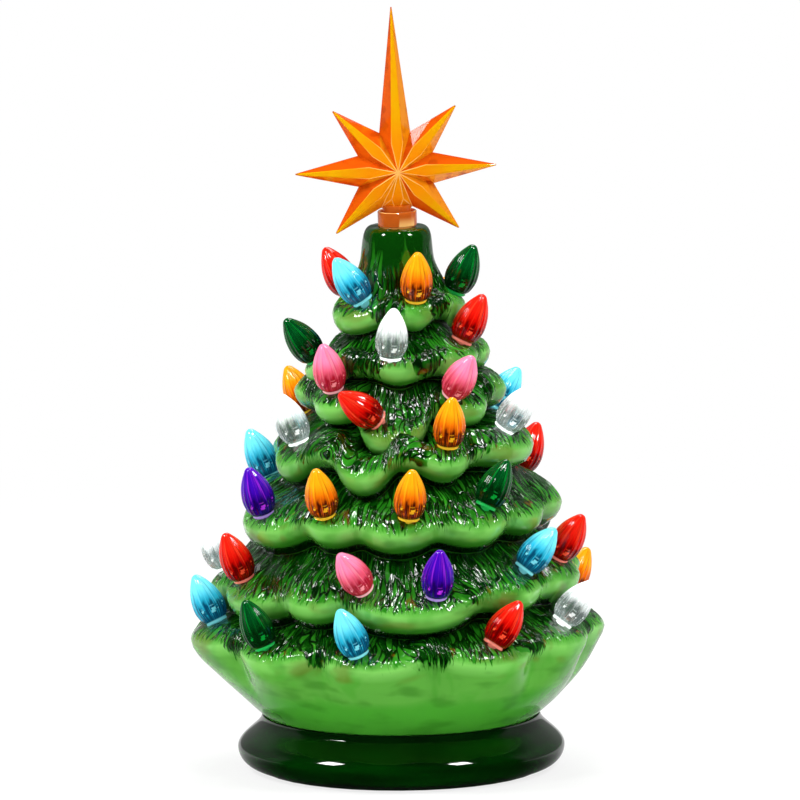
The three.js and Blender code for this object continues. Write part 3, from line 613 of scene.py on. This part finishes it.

# Plastic of the bulbs, with light and shade painted into its colours: the pointed end, the belly, the painted shade
# at the foot, painted highlights of light caught inside, and the flange, then how clear it is and how much it glows,
# a painted glow
bulbPlastic = {
    "red": {"tip": screen(228, 28, 14), "belly": screen(212, 8, 2), "deep": screen(104, 0, 0),
            "spark": screen(255, 84, 50), "flange": screen(250, 150, 130), "clear": 0.3, "glow": 0.2},
    "orange": {"tip": screen(252, 166, 16), "belly": screen(240, 106, 4), "deep": screen(84, 22, 2),
               "spark": screen(255, 190, 30), "flange": screen(246, 206, 52), "clear": 0.3, "glow": 0.2},
    "green": {"tip": screen(2, 68, 26), "belly": screen(0, 60, 16), "deep": screen(0, 36, 6),
              "spark": screen(10, 150, 50), "flange": screen(40, 196, 90), "clear": 0.3, "glow": 0.2},
    "blue": {"tip": screen(120, 238, 250), "belly": screen(40, 186, 222), "deep": screen(8, 78, 112),
             "spark": screen(130, 232, 246), "flange": screen(140, 236, 240), "clear": 0.35, "glow": 0.2},
    "purple": {"tip": screen(62, 8, 176), "belly": screen(54, 2, 160), "deep": screen(28, 0, 92),
               "spark": screen(190, 50, 236), "flange": screen(190, 160, 232), "clear": 0.3, "glow": 0.2},
    "pink": {"tip": screen(248, 136, 178), "belly": screen(236, 84, 112), "deep": screen(180, 26, 48),
             "spark": screen(255, 160, 170), "flange": screen(250, 200, 204), "clear": 0.3, "glow": 0.2},
    "clear": {"tip": screen(255, 255, 255), "belly": screen(244, 250, 250), "deep": screen(132, 150, 144),
              "spark": screen(255, 255, 255), "flange": screen(236, 246, 240), "clear": 0.8, "glow": 0.6},
}


def makeBulbPlastic(colour):
    material, tree, shader = newMaterial(f"bulb_{colour}")
    tones = bulbPlastic[colour]
    along, around = attributeOf(tree, "along"), attributeOf(tree, "around", "Vector")

    def stretched(width, length):
        return stretchedBy(tree, around, (1 / width, 1 / width, 1 / length))

    def streaksOf(width, length):
        return noiseOf(tree, stretched(width, length), 1.0, 1.0)

    streak = streaksOf(0.6, 22)
    rib = streaksOf(1.5, 26)
    ragged = times(tree, minus(tree, streaksOf(1.8, 5), 0.5), 7.0)
    level = plus(tree, along, ragged)
    # The pointed end is painted as lit evenly, painted light, with lengthwise flutes drawn as darker lines and
    # painted highlights
    upper = mixColour(tree, rangeOf(tree, along, 12.0, 20.0), tones["belly"], tones["tip"])
    upper = mixColour(tree, times(tree, rangeOf(tree, rib, 0.48, 0.34), 0.4), upper, tones["deep"])
    upper = mixColour(tree, times(tree, rangeOf(tree, streak, 0.54, 0.68), 0.5), upper, tones["spark"])
    # The lower half is painted dark, painted shade, with streaks, a few darker patches and a few bright patches of
    # light caught inside, painted highlights
    lower = mixColour(tree, rangeOf(tree, streak, 0.42, 0.66), tones["deep"], tones["belly"])
    lower = mixColour(tree, times(tree, rangeOf(tree, along, 5.0, 3.0), 0.7), lower, tones["deep"])
    cells = addNode(tree, "ShaderNodeTexVoronoi", {"Vector": stretched(2.7, 1.7), "Scale": 1.0, "Randomness": 0.6},
                    feature="F1", distance="CHEBYCHEV")
    chance = addNode(tree, "ShaderNodeSeparateColor", {0: cells.outputs["Color"]})
    band = times(tree, rangeOf(tree, along, 4.2, 5.4), rangeOf(tree, along, 9.6, 8.2))
    patch = times(tree, rangeOf(tree, cells.outputs["Distance"], 0.46, 0.3), band)
    spark = times(tree, maths(tree, "GREATER_THAN", chance.outputs[0], 0.68), patch)
    shade = times(tree, maths(tree, "GREATER_THAN", chance.outputs[1], 0.6), patch)
    lower = mixColour(tree, times(tree, shade, 0.7), lower, tones["deep"])
    lower = mixColour(tree, times(tree, spark, 0.85), lower, tones["spark"])
    # Painted light and shade: the lit upper part over the shaded lower half, with a ragged border
    lit = rangeOf(tree, level, 9.0, 12.5)
    look = mixColour(tree, lit, lower, upper)
    look = mixColour(tree, times(tree, rangeOf(tree, along, 1.9, 1.3), 0.8), look, tones["flange"])
    # Painted glow: the bulbs are no lamps, yet the flange, the bright patches and the upper part give off light
    glow = maths(tree, "MAXIMUM", spark, rangeOf(tree, along, 1.7, 1.2))
    glow = maths(tree, "MAXIMUM", glow, rangeOf(tree, level, 10.0, 16.0))
    glow = mixColour(tree, glow, screen(0, 0, 0), look)
    setShader(tree, shader, Base_Color=look, Roughness=0.04, IOR=1.45, Transmission_Weight=tones["clear"])
    setShader(tree, shader, Emission_Color=glow, Emission_Strength=tones["glow"])
    return material


def bulbMesh(name, seat, axis):
    line = smoothLine(bulb["outline"], 4)
    stem = [(0.0, -bulb["stemLength"]), (bulb["stemRadius"], -bulb["stemLength"]), (bulb["stemRadius"], 0.0)]
    bm = turned(stem + line, bulb["sides"])
    alongLayer = bm.verts.layers.float.new("along")
    aroundLayer = bm.verts.layers.float_vector.new("around")
    facing = Vector((0, 0, 1)).rotation_difference(axis)
    for vert in bm.verts:
        angle = math.atan2(vert.co.y, vert.co.x)
        height = vert.co.z
        envelope = smoothStep(height, 1.6, 5.0) * smoothStep(height, 25.5, 20.0)
        factor = 1 - bulb["fluteDepth"] / bulb["girth"] * envelope * (1 - math.cos(bulb["flutes"] * angle))
        vert[alongLayer] = height
        ring = bulb["streakRadius"]
        vert[aroundLayer] = (ring * math.cos(angle), ring * math.sin(angle), height)
        local = Vector((vert.co.x * factor, vert.co.y * factor, height))
        vert.co = Vector(seat) * mm + facing @ local * mm
    return meshFrom(bm, name)


# Where a bulb's node stands: the middle of its collar and its axis, both in millimetres
def bulbPlace(node):
    points = np.array([vert.co for vert in nodes[node].data.vertices]) / mm
    middle = points.mean(axis=0)
    axis = np.linalg.svd(points - middle, full_matrices=False)[2][0]
    along = (points - middle) @ axis
    across = np.linalg.norm(points - middle - along[:, None] * axis, axis=1)
    ends = [across[np.abs(along - end) < 0.4].max() for end in (along.min(), along.max())]
    if ends[0] < ends[1]:
        axis, along = -axis, -along
    foot = points[np.abs(along - along.min()) < 0.4].mean(axis=0)
    top = points[np.argmax(along)]
    axis = (top - foot) / np.linalg.norm(top - foot)
    return foot + axis * bulb["stemLength"], Vector(axis)


# Bulbs at the back that the frame doesn't hold: (tier from the top, turn, lean out, lean aside, colour)
backBulbs = [
    (1, 165, 26, 0, "pink"), (2, 150, 27, 0, "orange"), (2, -150, 27, 0, "blue"), (3, 145, 27, 0, "green"),
    (3, -165, 26, 0, "red"), (4, -160, 26, 0, "green"), (5, 118, 26, 4, "red"), (5, -146, 27, 0, "red"),
    (6, -155, 26, 0, "blue"), (6, -128, 27, 0, "orange"), (7, 146, 27, 0, "purple"), (7, -148, 27, 0, "clear"),
]


def backPlace(number, turn, out, side):
    tier = tiers[number - 1]
    reach, height, *_ = lipAt(tier, np.array([float(turn)]))
    radius = reach[0] - tier["seat"][0]
    angle = math.radians(turn)
    outward = Vector((math.sin(angle), -math.cos(angle), 0))
    aside = Vector((math.cos(angle), math.sin(angle), 0))
    axis = outward * math.sin(math.radians(out)) + aside * math.sin(math.radians(side))
    axis.z = math.sqrt(1 - axis.length_squared)
    return outward * radius + Vector((0, 0, height[0] + tier["seat"][1] + ceramic["seat"])), axis


bulbMaterials = {colour: makeBulbPlastic(colour) for colour in bulbPlastic}
bulbNodes = [name for name in nodes if name.startswith("bulb_")]
places = {name: bulbPlace(name) for name in bulbNodes}
seats = [(np.array(seat) - [0, 0, ceramic["seat"]], axis) for seat, axis in places.values()]
backPlaces = [backPlace(*row[:4]) for row in backBulbs]
seats += [(np.array(seat) - [0, 0, ceramic["seat"]], axis) for seat, axis in backPlaces]

treePiece = dressPiece("ceramic_tree", buildCeramicTree(seats), "tree", makeTreeGlaze())
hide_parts("tree_body")
print("ceramic tree made")

for name in bulbNodes:
    colour = name.split("_")[1]
    seat, axis = places[name]
    piece = dressPiece(f"{name}_lens", bulbMesh(name, seat, axis), "tree", bulbMaterials[colour])
    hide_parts(name)
for number, ((seat, axis), row) in enumerate(zip(backPlaces, backBulbs), 1):
    mesh = bulbMesh(f"back_bulb_{number}", seat, axis)
    dressPiece(f"back_bulb_{number}", mesh, "tree", bulbMaterials[row[4]])
print(f"{len(bulbNodes) + len(backBulbs)} bulbs made")


# Star: eight points, faceted front and back, on a cup with a plug. Millimetres.
star = {
    "rise": 27.8,
    "top": 81.3,
    "side": 50,
    "diagonal": 43.2,
    "valley": 20.5,
    "halfDepth": 10.5,
    "facetRadius": 14.5,
    "facetHalfAngle": 11.5,
    "lean": 1.3,
    "turn": 7,
    "stemRadius": 7.2,
    "cupRadius": 9.7,
    "cupWall": 1.3,
    "cupHeight": 7.4,
    "cupFloor": 1.6,
    "plugRadius": 7.2,
    "plugLength": 12,
    "gap": 0.3,
    "edgeBevel": 0.25,
}


def starFigure():
    down = star["rise"] - star["cupFloor"] - star["cupHeight"] / 2
    lengths = [star["top"], star["diagonal"], star["side"], star["diagonal"], down, star["diagonal"], star["side"],
               star["diagonal"]]
    bm = bmesh.new()
    outLayer = bm.verts.layers.float.new("out")
    lineLayer = bm.faces.layers.float.new("line")

    def ray(degrees, radius, depth):
        angle = math.radians(degrees)
        return bm.verts.new((radius * math.sin(angle), depth, radius * math.cos(angle)))

    # One point's front: a kite down the middle and a facet on each side
    middle, tip = ray(0, 0, -star["halfDepth"]), ray(0, star["diagonal"], 0)
    left, right = (ray(side * star["facetHalfAngle"], star["facetRadius"], -1) for side in (-1, 1))
    valleyLeft, valleyRight = (ray(side * 22.5, star["valley"], 0) for side in (-1, 1))
    for corners in ((middle, left, tip, right), (left, valleyLeft, tip), (right, tip, valleyRight),
                    (middle, valleyLeft, left), (middle, right, valleyRight)):
        bm.faces.new(corners)
    bmesh.ops.spin(bm, geom=bm.verts[:] + bm.edges[:] + bm.faces[:], axis=(0, 1, 0), cent=(0, 0, 0),
                   angle=2 * math.pi, steps=8, use_duplicate=True)
    bmesh.ops.remove_doubles(bm, verts=bm.verts, dist=1e-3)
    for vert in bm.verts:
        radius = math.hypot(vert.co.x, vert.co.z)
        if radius < 1 or abs(radius - star["valley"]) < 0.1:
            continue
        number = round(math.atan2(vert.co.x, vert.co.z) / math.radians(45)) % 8
        if radius > star["valley"]:
            vert.co *= lengths[number] / radius
        else:
            vert.co.y = -star["halfDepth"] * (1 - star["facetRadius"] / lengths[number])
    bmesh.ops.mirror(bm, geom=bm.verts[:] + bm.edges[:] + bm.faces[:], axis="Y", merge_dist=1e-3)
    bmesh.ops.recalc_face_normals(bm, faces=bm.faces)
    # Only the strips' edges and the outline are rounded
    sharp = [edge for edge in bm.edges if any(abs(face.normal.y) > 0.8 for face in edge.link_faces)
             or all(abs(vert.co.y) < 0.01 for vert in edge.verts)]
    lines = bmesh.ops.bevel(bm, geom=sharp, offset=star["edgeBevel"], segments=1, profile=0.5, affect="EDGES",
                            material=-1)["faces"]
    for face in lines:
        face[lineLayer] = 1
    # The bevel blunts the points, so each is drawn out again to its own length
    for number, length in enumerate(lengths):
        point = [vert for vert in bm.verts if math.hypot(vert.co.x, vert.co.z) > star["valley"] + 2
                 and round(math.atan2(vert.co.x, vert.co.z) / math.radians(45)) % 8 == number]
        if point:
            drawn = length / max(math.hypot(vert.co.x, vert.co.z) for vert in point)
            for vert in point:
                vert.co *= drawn
    for vert in bm.verts:
        vert[outLayer] = math.hypot(vert.co.x, vert.co.z)
    bmesh.ops.translate(bm, verts=bm.verts, vec=(0, 0, star["rise"]))
    return meshFrom(bm, "starFigure")


def starFoot():
    inner = star["cupRadius"] - star["cupWall"]
    stemTop = star["rise"] - star["valley"] + 3
    profile = [(0, -star["plugLength"]), (star["plugRadius"] - 0.8, -star["plugLength"]),
               (star["plugRadius"], -star["plugLength"] + 0.8), (star["plugRadius"], 0),
               (star["cupRadius"] - 0.4, 0), (star["cupRadius"], 0.4),
               (star["cupRadius"], star["cupHeight"] - 0.5), (star["cupRadius"] - 0.4, star["cupHeight"]),
               (inner + 0.3, star["cupHeight"]), (inner, star["cupHeight"] - 0.5), (inner, star["cupFloor"]),
               (star["stemRadius"], star["cupFloor"]), (star["stemRadius"], stemTop), (0, stemTop)]
    bm = turned(profile, 64)
    cupLayer = bm.verts.layers.float.new("cup")
    for vert in bm.verts:
        vert[cupLayer] = 1 if vert.co.z > star["cupHeight"] - 0.6 else 0.5
    return meshFrom(bm, "starFoot")


# Joins two closed meshes into one
def joinedMesh(first, second, name):
    one, two = (bpy.data.objects.new("part", mesh) for mesh in (first, second))
    for part in (one, two):
        bpy.context.scene.collection.objects.link(part)
    join = one.modifiers.new("join", "BOOLEAN")
    join.operation, join.object, join.solver = "UNION", two, "EXACT"
    mesh = bpy.data.meshes.new_from_object(one.evaluated_get(bpy.context.evaluated_depsgraph_get()))
    mesh.name = name
    for part in (one, two):
        bpy.data.objects.remove(part)
    return mesh


amber = {
    "middle": screen(228, 138, 8),
    "tip": screen(222, 166, 6),
    "flank": screen(212, 82, 8),
    "lit": screen(226, 140, 14),
    "ridge": screen(255, 226, 140),
    "outline": screen(178, 60, 12),
    "deep": screen(130, 30, 2),
    "cup": screen(190, 92, 26),
    "rim": screen(255, 204, 120),
    "clear": 0.4,
    "glow": 0.12,
}


# Moulded amber plastic, its light and shade painted in as colour. The strips along the points are yellow and the
# flanks beside them a deep orange, lit and shaded facets of one plastic, painted lighter where they turn to the right
# and down, and the edges between them are bright, a painted highlight.
def makeAmberPlastic():
    material, tree, shader = newMaterial("amberPlastic")
    coordinates = addNode(tree, "ShaderNodeTexCoord")
    out, line, cup = (attributeOf(tree, name) for name in ("out", "line", "cup"))
    normal = addNode(tree, "ShaderNodeSeparateXYZ", {0: coordinates.outputs["Normal"]})
    facing = addNode(tree, "ShaderNodeMath", {0: normal.outputs["Y"]}, operation="ABSOLUTE").outputs[0]
    aside = minus(tree, normal.outputs["X"], times(tree, normal.outputs["Z"], 0.4))
    swirl = noiseOf(tree, coordinates.outputs["Object"], 160.0, 1.0)
    strip = mixColour(tree, rangeOf(tree, out, 10.0, 34.0), amber["middle"], amber["tip"])
    strip = mixColour(tree, times(tree, rangeOf(tree, swirl, 0.5, 0.7), 0.3), strip, amber["middle"])
    flank = mixColour(tree, rangeOf(tree, plus(tree, aside, minus(tree, swirl, 0.5)), 0.1, 0.6),
                      amber["flank"], amber["lit"])
    flank = mixColour(tree, times(tree, rangeOf(tree, swirl, 0.45, 0.3), 0.35), flank, amber["deep"])
    colour = mixColour(tree, rangeOf(tree, facing, 0.76, 0.84), flank, strip)
    # Painted highlight on bevelled edges that face forward, fading towards the tips; the other bevels get a dark line
    # of painted shade
    ridge = times(tree, line, rangeOf(tree, facing, 0.35, 0.7))
    outline = minus(tree, line, ridge)
    fading = times(tree, ridge, rangeOf(tree, out, 24.0, 6.0, 0.0, 0.5))
    colour = mixColour(tree, times(tree, outline, 0.8), colour, amber["outline"])
    colour = mixColour(tree, fading, colour, amber["ridge"])
    colour = mixColour(tree, rangeOf(tree, cup, 0.3, 0.5), colour, amber["cup"])
    # The cup's top rim: a painted highlight
    colour = mixColour(tree, rangeOf(tree, cup, 0.6, 1.0), colour, amber["rim"])
    setShader(tree, shader, Base_Color=colour, Roughness=0.02, IOR=1.49, Transmission_Weight=amber["clear"])
    # Painted glow: the star is no lamp
    setShader(tree, shader, Emission_Color=colour, Emission_Strength=amber["glow"])
    return material


starMesh = joinedMesh(starFigure(), starFoot(), "star")
lift = ceramic["seat"] + ceramic["capTop"] + star["gap"] + star["cupRadius"] * math.sin(math.radians(star["lean"]))
starMesh.transform(Matrix.Scale(mm, 4) @ Matrix.Translation((0, 0, lift))
                   @ Matrix.Rotation(math.radians(star["turn"]), 4, "Z")
                   @ Matrix.Rotation(math.radians(-star["lean"]), 4, "Y"))
starPiece = dressPiece("amber_star", starMesh, "star", makeAmberPlastic())
starPiece.data.set_sharp_from_angle(angle=math.radians(12))
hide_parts("star")
print("star made")


# Ceramic base. Millimetres above the table.
base = {
    "bottom": 1.3,
    "height": 27,
    "footRadius": 71,
    "bellyRadius": 81,
    "bellyHeight": 10.7,
    "neckRadius": 69,
    "openingRadius": 58,
    "ledgeWidth": 4.3,
    "ledge": (7.2, 12.2),
    "wall": 7.5,
    "collarRadius": 62.1,
    "collarHeight": 6,
    "collarWall": 4,
    "undercut": 3,
    "floorRise": 3,
    "steps": 192,
}


def buildBase():
    outline = []
    for step in range(13):
        angle = math.pi / 2 * step / 12
        outline.append((base["footRadius"] + (base["bellyRadius"] - base["footRadius"]) * math.sin(angle),
                        base["bellyHeight"] - (base["bellyHeight"] - base["bottom"]) * math.cos(angle)))
    for step in range(1, 25):
        share = step / 24
        outline.append((base["neckRadius"] + (base["bellyRadius"] - base["neckRadius"])
                        * (1 + math.cos(math.pi * share)) / 2,
                        base["bellyHeight"] + (base["height"] - base["bellyHeight"]) * share))
    collar, top = base["collarRadius"], base["height"] + base["collarHeight"]
    inner, belly = collar - base["collarWall"], base["bellyRadius"] - base["wall"]
    rebate = base["openingRadius"] + base["ledgeWidth"]
    low, high = base["ledge"]
    profile = [(rebate, base["bottom"])] + outline + [
        (neck, base["height"]) for neck in (base["neckRadius"] - 0.8, collar + 0.6)
    ] + [(collar, base["height"] + 0.6), (collar, top - 1.2), (collar - 1.2, top), (inner + 1.2, top),
         (inner, top - 1.2), (inner, base["height"] - base["undercut"]),
         (belly, base["bellyHeight"] + base["floorRise"]), (belly, high), (base["openingRadius"], high),
         (base["openingRadius"], low), (rebate, low)]
    bm = turned(profile, base["steps"], closed=True)
    bmesh.ops.scale(bm, verts=bm.verts, vec=(mm, mm, mm))
    return meshFrom(bm, "ceramicBase")


baseGlaze = {"deep": screen(0, 24, 0), "brushed": screen(0, 42, 1)}


def makeBaseGlaze():
    material, tree, shader = newMaterial("baseGlaze")
    place = addNode(tree, "ShaderNodeTexCoord").outputs["Object"]
    squashed = addNode(tree, "ShaderNodeMapping", {"Vector": place, "Scale": (14.0, 14.0, 160.0)})
    share = rangeOf(tree, noiseOf(tree, squashed.outputs[0], 1.0, 3.0), 0.35, 0.7)
    colour = mixColour(tree, share, baseGlaze["deep"], baseGlaze["brushed"])
    uneven = useGroup(tree, unevenSurface, Grain_Size=2.5, Grain_Depth=0.012, Swell_Size=16.0, Swell_Depth=0.12)
    setShader(tree, shader, Base_Color=colour, Roughness=0.05, Normal=uneven.outputs["Normal"])
    return material


basePiece = dressPiece("ceramic_base", buildBase(), "stand", makeBaseGlaze())
basePiece.data.set_sharp_from_angle(angle=math.radians(35))
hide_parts("base")
print("base made")


# Plain finishes for what the base holds
finishes = {
    "felt": {"colour": screen(28, 60, 34), "roughness": 0.95, "grain": (0.5, 0.25), "swell": (4.0, 0.1)},
    "black_plastic": {"colour": screen(26, 27, 28), "roughness": 0.5, "grain": (0.35, 0.03), "swell": (9.0, 0.04)},
    "slider_plastic": {"colour": screen(216, 216, 210), "roughness": 0.4, "grain": (0.3, 0.01), "swell": (5.0, 0.02)},
    "post_plastic": {"colour": screen(228, 228, 222), "roughness": 0.45, "grain": (0.4, 0.015), "swell": (7.0, 0.04)},
    "board": {"colour": screen(236, 238, 232), "roughness": 0.35, "grain": (0.25, 0.01), "swell": (5.0, 0.02)},
    "lamp_lens": {"colour": screen(255, 246, 214), "roughness": 0.25, "grain": (0.5, 0.02), "swell": (5.0, 0.02)},
    "wire_red": {"colour": screen(170, 24, 20), "roughness": 0.45, "grain": (0.4, 0.01), "swell": (3.0, 0.02)},
    "wire_black": {"colour": screen(22, 22, 24), "roughness": 0.45, "grain": (0.4, 0.01), "swell": (3.0, 0.02)},
    "cell_wrap": {"colour": screen(150, 152, 156), "roughness": 0.3, "grain": (0.3, 0.01), "swell": (8.0, 0.02)},
    "nickel": {"colour": screen(190, 188, 180), "roughness": 0.28, "grain": (0.2, 0.01), "swell": (3.0, 0.02)},
}


def makeFinish(name):
    values = finishes[name]
    material, tree, shader = newMaterial(name)
    uneven = useGroup(tree, unevenSurface, Grain_Size=values["grain"][0], Grain_Depth=values["grain"][1],
                      Swell_Size=values["swell"][0], Swell_Depth=values["swell"][1])
    red, green, blue, _ = values["colour"]
    worn = (red * 0.8, green * 0.8, blue * 0.8, 1)
    colour = mixColour(tree, uneven.outputs["Mask"], worn, values["colour"])
    setShader(tree, shader, Base_Color=colour, Roughness=values["roughness"], Normal=uneven.outputs["Normal"])
    shader.inputs["Metallic"].default_value = 1.0 if name == "nickel" else 0.0
    return material


slotOf = {row["node"]: row["material_slot"] for row in frame["record"]["subparts"]}
finishMaterials = {name: makeFinish(name) for name in finishes}
for name, node in nodes.items():
    if slotOf[name] in finishMaterials:
        node.data.materials.clear()
        node.data.materials.append(finishMaterials[slotOf[name]])
print("inner pieces dressed")


# Floor and lights. A lamp stands at an angle round from the front and above the table.
studio = {
    "floor": 8.0,
    "floorWhite": 0.8,
    "whiteFrom": 0.15,
    "whiteTo": 0.9,
    "fill": 0.55,
    "glossDark": 0.015,
    "floorGloss": 0.7,
    "wallGloss": 0.24,
    "aim": 0.16,
    "lamps": {
        "key": {"around": -66, "above": 45, "away": 1.5, "size": 0.34, "power": 17},
        "second": {"around": 56, "above": 48, "away": 1.5, "size": 0.3, "power": 13},
        "front": {"around": 4, "above": 72, "away": 1.4, "size": 0.2, "power": 5},
        "back": {"around": 170, "above": 65, "away": 1.3, "size": 0.6, "power": 10},
    },
}


def makeFloor():
    bm = bmesh.new()
    bmesh.ops.create_grid(bm, x_segments=1, y_segments=1, size=studio["floor"] / 2)
    material, tree, shader = newMaterial("floor")
    setShader(tree, shader, Base_Color=(0.9, 0.9, 0.9, 1), Roughness=0.6)
    path = addNode(tree, "ShaderNodeLightPath")
    facing = addNode(tree, "ShaderNodeNewGeometry").outputs["Backfacing"]
    place = addNode(tree, "ShaderNodeSeparateXYZ", {0: addNode(tree, "ShaderNodeTexCoord").outputs["Object"]})
    white = addNode(tree, "ShaderNodeEmission", {"Color": (1, 1, 1, 1), "Strength": 1.0})
    gloss = rangeOf(tree, place.outputs["Y"], -0.06, 0.04, studio["glossDark"], studio["floorGloss"])
    mirrored = addNode(tree, "ShaderNodeEmission", {"Color": (1, 1, 1, 1), "Strength": gloss})
    clear = addNode(tree, "ShaderNodeBsdfTransparent")
    spot = addNode(tree, "ShaderNodeTexCoord").outputs["Object"]
    far = addNode(tree, "ShaderNodeVectorMath", {0: spot}, operation="LENGTH").outputs["Value"]
    whiter = rangeOf(tree, far, studio["whiteFrom"], studio["whiteTo"], studio["floorWhite"], 1.0)
    share = times(tree, path.outputs["Is Camera Ray"], whiter)
    lit = addNode(tree, "ShaderNodeMixShader", {0: share, 1: shader.outputs[0], 2: white.outputs[0]})
    seen = addNode(tree, "ShaderNodeMixShader", {0: path.outputs["Is Glossy Ray"], 1: lit.outputs[0],
                                                 2: mirrored.outputs[0]})
    shown = addNode(tree, "ShaderNodeMixShader", {0: facing, 1: seen.outputs[0], 2: clear.outputs[0]})
    output = next(node for node in tree.nodes if node.type == "OUTPUT_MATERIAL")
    tree.links.new(shown.outputs[0], output.inputs[0])
    mesh = meshFrom(bm, "floor")
    mesh.materials.append(material)
    floor = bpy.data.objects.new("floor", mesh)
    bpy.context.scene.collection.objects.link(floor)


def makeLamps():
    target = Vector((0, 0, studio["aim"]))
    for name, values in studio["lamps"].items():
        lamp = bpy.data.lights.new(name, "AREA")
        lamp.shape = "SQUARE"
        lamp.size = values["size"]
        lamp.energy = values["power"]
        around, above = math.radians(values["around"]), math.radians(values["above"])
        away = Vector((math.sin(around) * math.cos(above), -math.cos(around) * math.cos(above), math.sin(above)))
        holder = bpy.data.objects.new(name, lamp)
        bpy.context.scene.collection.objects.link(holder)
        holder.location = target + away * values["away"]
        holder.rotation_euler = (-away).to_track_quat("-Z", "Y").to_euler()


# White to the camera and through plastic, an even fill, and for reflections bright only behind and at the sides
def makeWorld():
    world = bpy.data.worlds.new("studio")
    world.use_nodes = True
    bpy.context.scene.world = world
    tree = world.node_tree
    path = addNode(tree, "ShaderNodeLightPath")
    way = addNode(tree, "ShaderNodeSeparateXYZ", {0: addNode(tree, "ShaderNodeTexCoord").outputs["Generated"]})
    behind = times(tree, rangeOf(tree, way.outputs["Y"], 0.0, 0.25), rangeOf(tree, way.outputs["Z"], 0.8, 0.4))
    gloss = rangeOf(tree, behind, 0.0, 1.0, studio["glossDark"], studio["wallGloss"])
    seen = maths(tree, "MAXIMUM", path.outputs["Is Camera Ray"], path.outputs["Is Transmission Ray"])
    level = addNode(tree, "ShaderNodeMix", {0: path.outputs["Is Glossy Ray"], 2: studio["fill"], 3: gloss})
    level = addNode(tree, "ShaderNodeMix", {0: seen, 2: level.outputs[0], 3: 1.0})
    background = tree.nodes["Background"]
    tree.links.new(level.outputs[0], background.inputs["Strength"])
    background.inputs["Color"].default_value = (1, 1, 1, 1)


makeFloor()
makeLamps()
makeWorld()
bpy.context.scene.view_settings.view_transform = "Standard"
print("studio set")
